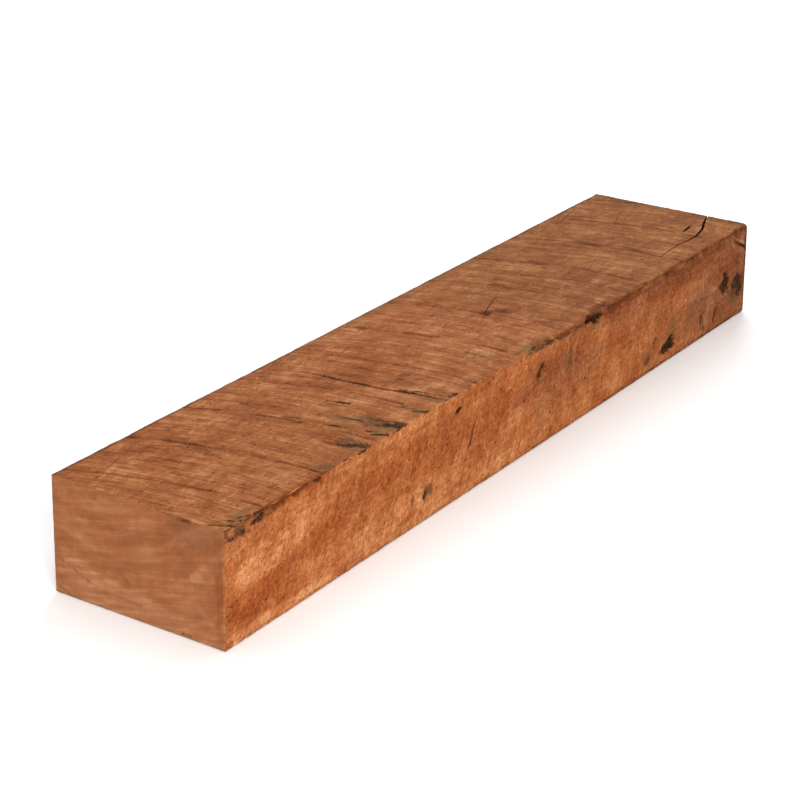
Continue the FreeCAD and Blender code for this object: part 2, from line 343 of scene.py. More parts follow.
TOP_MARKS = [
    *veins(
        Face.TOP, Layer.GUM,
        (
            0.9, 0.5, (-110, -38, 1.6, 0.4), (-107, -26, 2.8, 1.0), (-106, -10, 2.2, 0.9),
            (-104, 6, 2.0, 0.8), (-103, 22, 1.8, 0.8), (-100, 32, 3.0, 1.0), (-97, 48, 2.4, 0.9),
            (-95, 64, 2.6, 0.8),
        ),
        (0.8, 0.5, (-138, 3, 1.4, 0.6), (-136, 11, 2.6, 1.0), (-134, 18, 1.4, 0.7)),
        (0.8, 0.5, (-169, 23, 1.6, 0.8), (-167, 32, 2.4, 1.0), (-165, 40, 1.4, 0.7)),
        (0.5, 0.5, (-156, 12, 0.8, 0.5), (-154, 30, 1.4, 0.6), (-151, 46, 1.8, 0.8)),
        (
            0.7, 0.5, (-146.5, 40, 1.2, 0.6), (-144.5, 50, 2.0, 0.9), (-141, 60, 2.6, 1.0),
            (-140.5, 66, 1.8, 0.8),
        ),
        (0.9, 0.5, (-152, 50, 3.0, 0.8), (-147.5, 57, 7.0, 1.1), (-144.5, 67, 6.0, 1.1)),
        (0.7, 0.5, (-166, 57, 1.6, 0.7), (-161, 64, 2.8, 1.0)),
        (0.5, 0.5, (-163.5, 50, 1.2, 0.7), (-160.5, 58, 1.6, 0.8)),
        (
            1.1, 0.5, (-190, 46, 2.2, 0.8), (-185, 56, 5.4, 1.1), (-181, 62, 7.0, 1.1),
            (-179, 67, 5.0, 1.0),
        ),
        (0.6, 0.5, (-191, 40, 1.2, 0.5), (-189.5, 50, 1.8, 0.9), (-188, 57, 2.0, 0.9)),
        (0.8, 0.5, (-121, 57, 1.8, 0.7), (-117.5, 66, 4.0, 1.0)),
        (0.4, 0.5, (-221, 60, 1.2, 0.6), (-215, 66, 1.8, 0.7)),
        (0.6, 0.5, (-22, 32, 2.0, 0.5), (-18, 31, 2.2, 0.9), (-13, 30, 1.2, 0.4)),
        (0.4, 0.5, (-98, 28, 1.2, 0.3), (-94, 44, 1.8, 0.8), (-91, 60, 1.6, 0.6)),
        (0.7, 0.5, (-320, 52, 1.2, 0.6), (-316, 59, 2.2, 0.9), (-312, 66, 2.6, 1.0)),
        (0.6, 0.5, (-311, 55, 1.2, 0.5), (-307, 62, 1.8, 0.9), (-303, 66.5, 2.2, 0.9)),
        (0.8, 0.5, (-303, 61, 1.6, 0.7), (-293, 64.8, 2.8, 0.9), (-285, 65.8, 2.2, 0.8)),
    ),
    *veins(
        Face.TOP, Layer.STAIN,
        (0.3, 0.5, (-157, -2, 2.4, 0.8), (-155, 20, 3.4, 0.9), (-152, 45, 5.0, 1.0)),
        (0.3, 0.5, (-223, 56, 5.0, 0.9), (-218, 63, 9.0, 1.0), (-213, 68, 6.0, 0.9)),
        # Painted shade: a dark rim along the top's back arris, where the top turns away.
        (
            0.3, 0.5, (-325, -63.6, 2.0, 0.7), (-60, -65.0, 2.4, 0.8), (150, -65.8, 2.8, 0.9),
            (320, -66, 3.4, 1.0),
        ),
        (0.0, 0.7, (318, -60, 9.0, 0.6), (320, 0, 8.0, 0.5), (320, 60, 9.0, 0.7)),
    ),
    *veins(
        Face.TOP, Layer.BROWN,
        (0.4, 0.5, (-173, -37, 2.6, 0.9), (-172, -23, 2.6, 0.8)),
        (0.3, 0.5, (-174, -4, 2.0, 0.8), (-171, 5, 1.8, 0.8)),
        (0.3, 0.5, (-141, -37, 1.6, 0.6), (-136, -24, 2.2, 0.9), (-134, -17, 1.4, 0.6)),
        (0.4, 0.5, (-122, 42, 1.4, 0.6), (-118.5, 57, 2.0, 0.9)),
        (0.4, 0.5, (-262, 51, 2.0, 0.9), (-255, 51, 2.0, 0.9)),
        # Painted shade: a second dark line along the top's back arris.
        (
            0.4, 0.5, (-325, -62.6, 3.4, 0.9), (-90, -64.0, 3.4, 0.8), (120, -64.8, 3.4, 0.9),
            (325, -65.4, 4.0, 0.9),
        ),
        (
            0.8, 0.4, (-325, 66, 3.0, 0.9), (-284, 65.4, 4.0, 1.0), (-262, 65.6, 4.0, 1.0),
            (-236, 66, 3.6, 1.0), (-221, 66.2, 3.0, 0.8),
        ),
        (
            0.6, 0.9, (-4, 66, 4.0, 0.5), (30, 65.5, 5.0, 0.8), (60, 65.5, 4.0, 0.7),
            (110, 65, 5.0, 0.7), (200, 65, 4.0, 0.6), (325, 64.5, 4.0, 0.6),
        ),
        (0.6, 0.8, (90, 62, 3.0, 0.6), (104, 61, 4.0, 0.9), (116, 62.5, 3.0, 0.7)),
        (0.2, 0.9, (-312, -38, 1.6, 0.6), (-270, -48, 1.6, 0.6)),
        (0.3, 0.8, (320, -62, 5.0, 0.8), (322, 0, 4.0, 0.6), (322.5, 60, 5.0, 0.9)),
    ),
    *veins(
        Face.TOP, Layer.STRAW,
        (0.0, 0.8, (-318, -33, 1.6, 0.8), (-279, -43.5, 1.6, 0.8)),
        (0.0, 0.6, (-257, -50, 1.6, 0.8), (-248, -33, 1.8, 0.9), (-259, -22, 1.6, 0.8)),
        (0.0, 0.9, (-300, -50, 1.4, 0.6), (-262, -56, 1.4, 0.7)),
        (0.0, 0.6, (-321, 6, 2.4, 0.5), (-322, 40, 2.4, 0.6), (-323, 62, 2.4, 0.4)),
    ),
    *veins(
        Face.TOP, Layer.RUST,
        (0.0, 0.3, (-275, 64, 7.0, 0.9), (-240, 64.5, 6.0, 1.0), (-222, 65.5, 4.0, 0.8)),
        (0.0, 0.4, (82, 63, 6.0, 0.6), (100, 62, 10.0, 1.0), (125, 63, 8.0, 0.8)),
    ),
    *spots(
        Face.TOP, Layer.GUM,
        (14, 64, 30, 5, 0, 0.7, 0.9, 0.7), (-86, 64, 10, 5, 0, 0.6, 0.5, 0.8),
        (-205, 65, 6, 3, 0, 0.7, 0.5, 0.7), (50, 4, 9, 3, -15, 0.8, 0.8, 0.4),
    ),
    *spots(
        Face.TOP, Layer.BROWN,
        (51, 3.5, 17, 9, 12, 1.0, 1.0, 0.4), (58, 11, 8, 13, -20, 1.0, 0.6, 0.4),
        (-84, 21, 6, 7, 0, 0.8, 0.3, 0.6), (206, 39, 6, 3, 0, 0.9, 0.4, 0.5),
        (248, 0, 5, 5, 0, 0.9, 0.3, 0.5), (268, -47, 4, 3, 0, 0.8, 0.3, 0.5),
        (-119, 48, 3, 4, 0, 0.9, 0.3, 0.5),
    ),
    *clouds(
        Face.TOP, Layer.STAIN,
        (-149, 53, 20, 34, 8, 1.0), (-185, 56, 15, 28, 8, 1.0), (-162, 60, 8, 16, 0, 0.6),
        (-100, 55, 12, 16, 0, 0.6), (-86, 63, 13, 8, 0, 0.7), (-119, 60, 13, 12, 0, 0.6),
        (-304, 60, 34, 10, -10, 0.7), (16, 62, 36, 10, 0, 0.9), (-15, 40, 12, 12, 0, 0.35),
        (306, 20, 34, 10, -15, 0.5), (315, -42, 22, 36, 0, 0.35), (-158, 24, 9, 40, 5, 0.5),
        (-137, 30, 8, 44, 3, 0.3), (-168, 34, 8, 34, 3, 0.4), (60, -60, 240, 8, 0, 0.4),
    ),
    *clouds(
        Face.TOP, Layer.BROWN,
        (155, -18, 9, 22, 10, 0.7), (214, -10, 9, 40, 12, 0.7), (222, 24, 6, 16, 10, 0.6),
        (-84, 20, 34, 8, 0, 0.5), (40, -28, 9, 40, 14, 0.35), (101, -18, 8, 34, 12, 0.5),
        (-24, -50, 7, 12, 15, 0.8), (268, 18, 10, 30, 8, 0.4), (140, 45, 80, 18, 0, 0.3),
        (-240, -20, 9, 60, 16, 0.4), (-212, 12, 40, 10, 0, 0.25), (165, 16, 6, 16, 10, 0.6),
    ),
    *clouds(
        Face.TOP, Layer.STRAW,
        (-14, 40, 12, 14, 0, 0.9), (-265, -34, 10, 10, 0, 0.6), (-158, 20, 16, 40, 5, 0.4),
        (160, 32, 50, 8, -4, 0.5), (-70, 57, 60, 14, 0, 0.4), (75, 45, 70, 20, 0, 0.25),
        (-100, -50, 24, 8, 0, 0.5), (290, -55, 30, 14, 0, 0.3), (60, 30, 60, 30, 0, 0.2),
    ),
    *clouds(
        Face.TOP, Layer.RUST,
        (-90, -5, 60, 50, 0, 0.5), (-60, 38, 40, 16, 0, 0.5), (-180, 36, 16, 10, 0, 0.6),
        (-230, -45, 30, 24, 0, 0.4), (150, -50, 60, 24, 0, 0.35), (-50, -28, 40, 18, 0, 0.4),
        (100, -28, 30, 20, 0, 0.4), (230, 5, 40, 24, 0, 0.3), (-280, -50, 50, 16, 0, 0.3),
    ),
    # Painted shade with duller wood: the top darker from its middle to the far end, with two smaller
    # patches.
    *clouds(
        Face.TOP, Layer.DUSK,
        (230, 0, 400, 190, 0, 0.6), (325, 20, 110, 120, 0, 0.5), (-5, 50, 60, 40, 0, 0.25),
        (-320, 60, 60, 24, 0, 0.3),
        ragged=0.3,
    ),
]

SIDE_MARKS = [
    *veins(
        Face.POCKETED, Layer.GUM,
        (0.6, 0.2, (306, 61.6, 0.8, 0.3), (312, 58.6, 1.4, 0.8), (323, 53, 1.2, 0.7)),
        # Painted shade: a broken dark line down the far edge of the side, where it turns away to the far
        # end.
        (0.2, 0.9, (324, 16, 1.6, 0.6), (324, 40, 2.0, 0.7), (323.6, 68, 1.8, 0.7)),
        (
            1.2, 0.6, (-323, 67, 1.8, 0.7), (-309, 67.5, 2.4, 0.8), (-299, 66.8, 5.0, 1.0),
            (-290, 69, 3.4, 1.0), (-282, 72, 2.4, 0.6),
        ),
    ),
    *veins(
        Face.POCKETED, Layer.STAIN,
        (0.0, 0.8, (-322, 72, 6.0, 0.8), (-285, 72, 6.0, 0.7)),
    ),
    *veins(
        Face.POCKETED, Layer.BROWN,
        (0.8, 0.3, (-71, 30, 2.0, 0.9), (-66, 38, 3.2, 1.0), (-62, 47, 2.0, 0.8)),
        (0.4, 0.5, (-81, 36, 2.0, 0.9), (-76, 43, 1.8, 0.8)),
        (0.5, 0.5, (56, 44, 1.6, 0.6), (59, 58, 2.0, 0.9), (57, 66, 1.6, 0.6)),
        (1.4, 0.1, (303, 64, 1.6, 0.7), (312, 59, 2.2, 1.0), (323, 53.5, 2.2, 0.9)),
        # Painted shade: a dark line down the far edge of the side, at the same corner.
        (0.3, 0.6, (323.6, 2, 2.0, 0.6), (323, 20, 3.4, 0.9), (323, 50, 3.4, 0.9), (322, 72, 4.0, 1.0)),
        (
            1.0, 0.6, (-288, 70, 2.4, 1.0), (-276, 72.6, 2.6, 1.0), (-262, 72.0, 2.4, 1.0),
            (-248, 73.4, 2.6, 1.0), (-234, 74.8, 2.4, 0.9),
        ),
        (
            0.6, 0.7, (-325, 72, 8.0, 0.7), (-290, 72, 8.0, 0.8), (-262, 72.6, 6.0, 0.8),
            (-240, 74, 4.4, 0.9), (-222, 75, 3.0, 0.7),
        ),
        (0.4, 0.3, (-325, 75.6, 3.4, 1.0), (-225, 75.2, 3.0, 1.0), (-205, 75.2, 2.0, 0.4)),
        (0.3, 0.9, (100, 70, 5.0, 0.6), (200, 68, 8.0, 0.6), (325, 66.5, 10.0, 0.6)),
        (
            0.8, 0.7, (30, 71, 2.4, 0.6), (46, 69.8, 3.4, 1.0), (80, 68.6, 3.4, 0.9),
            (108, 70.5, 3.4, 1.0), (170, 71, 3.0, 0.9), (235, 70.6, 3.4, 1.0), (318, 69.5, 3.0, 0.9),
        ),
        (0.2, 0.8, (-325, 1.6, 1.8, 0.4), (0, 1.4, 2.0, 0.5), (325, 1.4, 2.6, 0.9)),
    ),
    *veins(
        Face.POCKETED, Layer.STRAW,
        (0.0, 0.4, (62, 40, 2.4, 0.8), (63.5, 54, 3.0, 1.0), (62, 62, 2.0, 0.7)),
        (0.0, 0.6, (47, 40, 2.0, 0.7), (49, 54, 2.4, 0.8)),
        (0.0, 0.2, (302, 67, 1.6, 0.9), (311, 62, 2.4, 1.0), (322, 56.5, 2.4, 1.0)),
    ),
    *veins(
        Face.POCKETED, Layer.RUST,
        (0.0, 0.3, (-295, 72, 8.0, 1.0), (-225, 73.5, 6.0, 1.0)),
    ),
    *spots(
        Face.POCKETED, Layer.GUM,
        (-234, 72, 7, 3, 0, 0.7, 0.6, 0.6), (-187, 73.5, 12, 3, 0, 0.9, 0.8, 0.6),
        (-152, 73.5, 10, 2.5, 0, 0.9, 0.8, 0.6), (-82, 61.8, 8, 4, 8, 1.0, 1.6, 0.5),
        (20, 54, 15, 5.6, 48, 1.0, 2.0, 0.3), (20, 71.5, 32, 3.4, -3, 0.7, 0.8, 0.8),
        (92.5, 67.6, 28, 7.0, -4, 1.05, 4.4, 0.45), (-120.5, 18.5, 4.4, 9, -25, 0.85, 1.2, 0.4),
        (204, 13, 22, 14, 18, 1.05, 3.0, 0.6), (292, 32, 18, 16, 45, 1.1, 3.0, 0.5),
        (315, 26, 22, 21, 0, 0.8, 2.0, 0.6), (234, 69.5, 6, 2, 0, 0.7, 0.5, 0.6),
    ),
    *spots(
        Face.POCKETED, Layer.BROWN,
        (120, 68, 22, 6, 10, 0.8, 0.6, 0.8), (-134, 20, 3.4, 6, -20, 1.0, 0.8, 0.5),
        (-116, 21, 5, 8, -25, 0.8, 0.6, 0.6), (181, 22.5, 10, 4, 50, 1.0, 1.0, 0.5),
        (170, 10, 8, 5, 30, 0.9, 0.8, 0.5), (190, 10.5, 3, 2, 0, 0.9, 0.5, 0.5),
        (278, 15, 7, 14, -20, 1.0, 1.0, 0.7), (253, 16, 6, 18, 0, 0.8, 0.5, 0.8),
        (257, 8, 3, 6, 0, 0.7, 0.5, 0.6), (-258, 17, 4, 3, 0, 0.9, 0.5, 0.5),
        (-2, 39.6, 5, 1.8, -20, 0.9, 0.5, 0.4), (66, 24, 7, 5, 0, 0.6, 0.4, 0.8),
        (79, 28, 5, 4, 0, 0.6, 0.4, 0.8), (37, 26, 4, 3, 0, 0.7, 0.4, 0.8),
        (34, 6, 5, 8, 0, 0.6, 0.4, 0.8),
    ),
    *spots(
        Face.POCKETED, Layer.RUST,
        (112, 69, 40, 8, 0, 1.0, 0.0, 0.6),
    ),
    *clouds(
        Face.POCKETED, Layer.STAIN,
        (-118, 20, 14, 10, 0, 0.6), (206, 25, 22, 26, 0, 0.7), (56, 50, 22, 24, 0, 0.3),
        (200, 14, 26, 16, 0, 0.5), (313, 25, 34, 28, 0, 0.85), (292, 38, 16, 10, 0, 0.5),
        (186, 38, 14, 10, 0, 0.4), (20, 22, 14, 22, 0, 0.3), (95, 65, 14, 5, -5, 0.8),
        (-300, 69, 46, 8, 0, 0.5), (18, 71, 40, 6, -3, 0.8), (232, 22, 20, 26, 0, 0.35),
        (17, 50, 10, 9, 45, 0.6), (256, 30, 16, 22, 0, 0.3), (170, 12, 16, 12, 0, 0.4),
    ),
    *clouds(
        Face.POCKETED, Layer.STRAW,
        (-284, 44, 92, 24, 8, 0.7), (-230, 62, 70, 9, 4, 0.35), (-20, 5, 90, 10, 0, 0.5),
        (-165, 15, 100, 24, 6, 0.75), (-270, 4, 130, 10, 0, 0.8), (-60, 6, 130, 10, 2, 0.6),
        (-160, 4, 120, 9, 0, 0.6), (-170, 70, 150, 8, 0, 0.35), (55, 8, 110, 16, 0, 0.4),
        (-80, 22, 80, 16, 0, 0.3), (165, 6, 110, 10, 0, 0.3), (-235, 55, 50, 14, 0, 0.4),
        (-10, 33, 40, 14, 0, 0.35), (250, 36, 70, 6, -6, 0.45), (305, 58, 24, 4, -28, 0.5),
        (120, 12, 70, 14, -6, 0.3), (318, 50, 12, 26, 0, 0.3), (-110, 8, 60, 10, 0, 0.4),
    ),
    *clouds(
        Face.POCKETED, Layer.RUST,
        (-290, 24, 80, 20, 4, 0.9), (-228, 34, 66, 22, 12, 0.8), (-165, 50, 90, 24, 6, 0.7),
        (-205, 48, 40, 30, 0, 0.6), (-110, 48, 90, 40, 0, 0.6), (-40, 45, 60, 30, 0, 0.6),
        (-65, 25, 26, 30, 60, 0.6), (30, 50, 50, 30, 0, 0.5), (130, 66, 60, 12, 0, 0.8),
        (190, 60, 80, 20, 0, 0.7), (250, 60, 90, 22, 0, 0.6), (290, 50, 60, 26, 0, 0.7),
        (-140, 14, 14, 12, 0, 0.6), (110, 35, 60, 40, 0, 0.4), (70, 45, 60, 34, 0, 0.4),
        (-262, 12, 90, 14, 4, 0.5),
    ),
    # Painted shade with duller, greyer wood: the side darker from its middle towards the far end, most
    # along the top.
    *clouds(
        Face.POCKETED, Layer.DUSK,
        (345, 30, 300, 120, 0, 1.0), (290, 30, 130, 60, 0, 0.8), (250, 66, 230, 44, -2, 0.8),
        (110, 68, 150, 34, -4, 0.6), (55, 42, 130, 40, 0, 0.55), (205, 26, 60, 40, 0, 0.4),
        (165, 42, 100, 30, 0, 0.4), (-310, 66, 70, 22, 0, 0.35), (300, 12, 110, 34, 0, 0.45),
        (24, 58, 40, 30, 20, 0.35), (-200, 50, 46, 34, 60, 0.25), (170, 14, 40, 22, 0, 0.4),
        (252, 18, 30, 30, 0, 0.4), (318, 70, 40, 16, 0, 0.5),
        ragged=0.35,
    ),
]

END_MARKS = [
    *veins(
        Face.NEAR, Layer.GUM,
        (0.4, 0.5, (74.3, 22, 0.8, 0.2), (74.0, 31, 1.5, 0.7), (73.6, 40, 1.0, 0.5)),
        # Painted shadow: a dark line, pressed 0.3 mm in, along the bottom edge of the near end where it
        # meets the floor.
        (0.3, 0.5, (1.4, 34, 1.6, 0.5), (1.6, 41, 2.0, 0.9), (2.6, 47, 1.4, 0.5)),
    ),
    *veins(
        Face.NEAR, Layer.BROWN,
        (
            0.5, 0.5, (74.9, 2, 1.6, 0.4), (74.6, 16, 1.8, 0.8), (74.1, 30, 2.2, 1.0),
            (73.6, 41, 1.6, 0.7),
        ),
        (
            0.15, 0.5, (24, -64, 2.0, 0.4), (21, -51, 2.0, 0.45), (16.5, -42, 1.8, 0.4),
            (13, -29, 1.8, 0.25),
        ),
        (0.1, 0.9, (22, -44, 1.6, 0.35), (23.2, -28, 1.6, 0.4), (23, -18, 1.6, 0.2)),
        (0.1, 0.8, (9.8, -23, 2.0, 0.3), (12, -11, 3.0, 0.4), (9.6, 6, 2.4, 0.3)),
        (0.2, 0.5, (6.5, -64, 2.4, 0.5), (2.2, -53, 2.4, 0.45)),
        (0.1, 0.5, (68, -50, 3.0, 0.35), (70, -30, 3.0, 0.35)),
        (0.1, 0.5, (54, -44, 2.4, 0.3), (62.5, -4, 2.4, 0.35)),
    ),
    *veins(
        Face.NEAR, Layer.STRAW,
        (0.0, 0.9, (53.5, -62, 1.6, 0.4), (58.5, -32, 1.6, 0.4), (64, -11, 1.6, 0.2)),
        (0.0, 0.9, (1.5, 41, 1.8, 0.7), (6.5, 60, 1.8, 0.7)),
        (0.0, 0.9, (8.0, 18, 1.8, 0.5), (11, 34, 1.8, 0.4)),
    ),
    *spots(
        Face.NEAR, Layer.BROWN,
        (23, -7, 3, 6, 20, 0.5, 0.2, 0.35),
    ),
    *clouds(
        Face.NEAR, Layer.STRAW,
        (40, 45, 9, 14, 0, 0.6), (12, -48, 12, 30, 0, 0.5), (24, 25, 8, 10, 0, 0.3),
        (60, 0, 8, 14, 0, 0.3), (26, -4, 10, 12, 0, 0.3), (9, -10, 26, 150, 4, 0.6),
        (14, -46, 24, 44, 0, 0.4), (16, 44, 26, 40, 0, 0.4),
    ),
    *clouds(
        Face.NEAR, Layer.RUST,
        (62, 52, 26, 34, 0, 0.3), (10, 50, 14, 34, 8, 0.5), (34, 62, 50, 7, 0, 0.6),
        (18, 30, 10, 26, 0, 0.3), (30, -60, 10, 10, 0, 0.3), (71, -5, 4, 16, 0, 0.4),
    ),
    # Painted shade with duller wood: the near end darker in its upper part and along its top and
    # right-hand edges.
    *clouds(
        Face.NEAR, Layer.DUSK,
        (66, 44, 30, 46, 0, 0.5), (45, 0, 26, 60, 0, 0.2), (74, 0, 8, 130, 0, 0.25),
        (60, 62, 50, 10, 0, 0.3),
    ),
]

BACK_MARKS = [
    *veins(
        Face.BACK, Layer.BROWN,
        # Painted shade: a dark band along the top edge of the back, at the same arris.
        (
            0.4, 0.9, (-325, 73, 4.0, 0.7), (-120, 73, 3.0, 0.5), (140, 72, 4.0, 0.7),
            (325, 70, 5.0, 0.7),
        ),
    ),
    *spots(
        Face.BACK, Layer.GUM,
        (-66, 51, 13, 5, 12, 0.9, 0.5, 0.35), (148, 24, 9, 4, 35, 0.9, 0.5, 0.35),
    ),
    *spots(
        Face.BACK, Layer.BROWN,
        (228, 33, 14, 5, -10, 0.9, 0.4, 0.35), (-190, 22, 9, 4, 40, 0.9, 0.3, 0.35),
    ),
    *clouds(
        Face.BACK, Layer.STRAW,
        (-210, 18, 170, 20, 4, 0.6), (90, 58, 200, 14, -2, 0.4), (250, 8, 130, 9, 0, 0.6),
        (-60, 6, 140, 9, 0, 0.5),
    ),
    *clouds(
        Face.BACK, Layer.RUST,
        (-120, 46, 150, 26, 4, 0.6), (60, 26, 120, 24, -4, 0.6), (230, 44, 100, 22, 0, 0.6),
    ),
    # Painted shade with duller wood: broad darker patches on the back, mostly high up.
    *clouds(
        Face.BACK, Layer.DUSK,
        (-280, 56, 120, 34, 0, 0.6), (150, 66, 220, 24, 0, 0.5), (300, 20, 60, 30, 0, 0.4),
    ),
]

MARKS: list[Union[Mark, Vein]] = TOP_MARKS + SIDE_MARKS + END_MARKS + BACK_MARKS

SPLITS = (
    Split((
        (219, 47.4, 0.5), (236, 45.6, 0.9), (252, 45.0, 1.1), (262, 46.4, 1.4), (275, 46.9, 1.8),
        (285, 45.0, 2.0), (295, 42.6, 2.2), (303, 39.2, 2.2), (311, 36.0, 2.0), (320, 33.0, 1.3),
        (329, 30.4, 0.9),
    ), depth=26.0),
    Split((
        (276.5, 34.7, 0.6), (281, 34.1, 2.8), (286, 33.5, 4.0), (292, 32.7, 3.4), (297.5, 31.9, 0.8),
    ), depth=5.0),
    Split((
        (28, 12, 0.3), (38, 8, 0.5), (45, 3.6, 0.8), (56, 0, 1.0), (66, -3.2, 0.9), (78, -7.4, 0.6),
        (88, -10.6, 0.3),
    ), depth=5.0),
    Split(((-79, -32.6, 0.3), (-70, -34.2, 0.7), (-58, -36, 0.6), (-44, -38, 0.3)), depth=3.0),
    Split(((-9, -14.6, 0.3), (-2, -16.6, 0.6), (10, -19.4, 0.3)), depth=3.0),
    Split((
        (240, -51.6, 0.4), (250, -53.6, 0.9), (259, -56, 1.0), (268, -57.6, 0.8), (281, -60.4, 0.4),
    ), depth=5.0),
    Split(((264, -17.4, 0.3), (276, -20.8, 0.9), (284, -24, 0.6), (294, -27.6, 0.3)), depth=4.0),
    Split(((299, -21.4, 0.3), (308, -24.0, 0.5), (318, -26.6, 0.8), (329, -28.8, 1.1)), depth=7.0),
    Split(((157, 19.6, 0.3), (165, 18.0, 0.7), (173, 15.4, 0.6), (187, 11.2, 0.3)), depth=3.0),
)


# ------------------------------------------------------------------------------ shaping


def set_down(obj: Optional[bpy.types.Object] = None) -> None:
    """Leave edit mode and deselect everything, then pick up one object.

    Args:
        obj: the object to make active and selected, or nothing.
    """
    if bpy.context.object and bpy.context.object.mode != "OBJECT":
        bpy.ops.object.mode_set(mode="OBJECT")
    bpy.ops.object.select_all(action="DESELECT")
    if obj is not None:
        obj.select_set(True)
        bpy.context.view_layer.objects.active = obj


def select_only(obj: bpy.types.Object, domain: str, chosen: np.ndarray) -> None:
    """Select some vertices, edges or faces of a mesh and nothing else of it.

    Args:
        obj: the mesh object, in object mode.
        domain: "vertices", "edges" or "polygons".
        chosen: one truth value for each item of that domain.
    """
    for name in ("vertices", "edges", "polygons"):
        items = getattr(obj.data, name)
        flags = chosen if name == domain else np.zeros(len(items), bool)
        items.foreach_set("select", flags)
    modes = {"vertices": "VERT", "edges": "EDGE", "polygons": "FACE"}
    set_down(obj)
    bpy.ops.object.mode_set(mode="EDIT")
    bpy.ops.mesh.select_mode(type=modes[domain])
    bpy.ops.object.mode_set(mode="OBJECT")
    getattr(obj.data, domain).foreach_set("select", chosen)


def points_of(obj: bpy.types.Object) -> np.ndarray:
    """The mesh's vertices, N x 3, in metres."""
    flat = np.empty(len(obj.data.vertices) * 3)
    obj.data.vertices.foreach_get("co", flat)
    return flat.reshape(-1, 3)


def normals_of(obj: bpy.types.Object) -> np.ndarray:
    """The mesh's vertex normals, N x 3."""
    flat = np.empty(len(obj.data.vertices) * 3)
    obj.data.vertex_normals.foreach_get("vector", flat)
    return flat.reshape(-1, 3)


@dataclass(frozen=True)
class SawCut:
    """The washboard that a circular saw leaves, in millimetres."""

    blade_radius: float = 255.0
    blade_middle: float = 50.0
    kick_pitch: float = 56.0
    kick_first: float = -4.0
    ripple: float = 0.16
    beat: float = 0.12
    groove: float = 0.42
    groove_half: float = 2.6
    step: float = 0.03
    step_half: float = 6.0

    def relief(self, across: np.ndarray, along: np.ndarray, noise: dict[str, Wobble]) -> np.ndarray:
        """How high the sawn face stands.

        Args:
            across: the place across the post.
            along: the place along it.
            noise: the stick's noises.

        Returns:
            N heights about nought.
        """
        reach = across - self.blade_middle
        arc = along + self.blade_radius - np.sqrt(self.blade_radius**2 - reach**2)
        place = np.stack([arc, across, np.zeros(len(arc))], axis=1)
        ripple = noise["saw"](place, (4.2, 46.0, 1.0), octaves=2)
        beat = noise["saw"](place, (13.0, 90.0, 1.0))
        kick = (arc - self.kick_first) / self.kick_pitch + 0.5
        away = np.abs(kick - np.floor(kick) - 0.5) * self.kick_pitch
        away = away + 0.8 * noise["edge"](place, (8.0, 8.0, 1.0), octaves=2)
        groove = ease(away, self.groove_half, 0.5)
        groove = groove * (0.55 + 0.45 * noise["tear"](place, (30.0, 24.0, 1.0)))
        step = ease(away, self.step_half, 1.5)
        return self.ripple * ripple + self.beat * beat - self.groove * groove - self.step * step


@dataclass(frozen=True)
class TornFibre:
    """The woolly skin of a side cut against the grain, in millimetres and degrees."""

    lean: float = 28.0
    strokes: float = 0.24
    fuzz: float = 0.26
    tears: float = 0.45

    def relief(self, points: np.ndarray, face: Face, noise: dict[str, Wobble]) -> np.ndarray:
        """How high the torn face stands.

        Args:
            points: N x 3 points.
            face: the side that they are on.
            noise: the stick's noises.

        Returns:
            N heights about nought.
        """
        flat = face.plan(points)
        flat[:, 0] -= math.tan(math.radians(self.lean)) * flat[:, 1]
        strokes = noise["saw"](flat, (3.6, 13.0, 1.0), octaves=2)
        fuzz = noise["fuzz"](points, (2.8, 3.4, 2.8), octaves=2)
        tears = noise["tear"](points, (5.0, 11.0, 5.0), octaves=2)
        return self.strokes * strokes + self.fuzz * fuzz - self.tears * ease(tears, 0.25, 0.7)


SAW = SawCut()


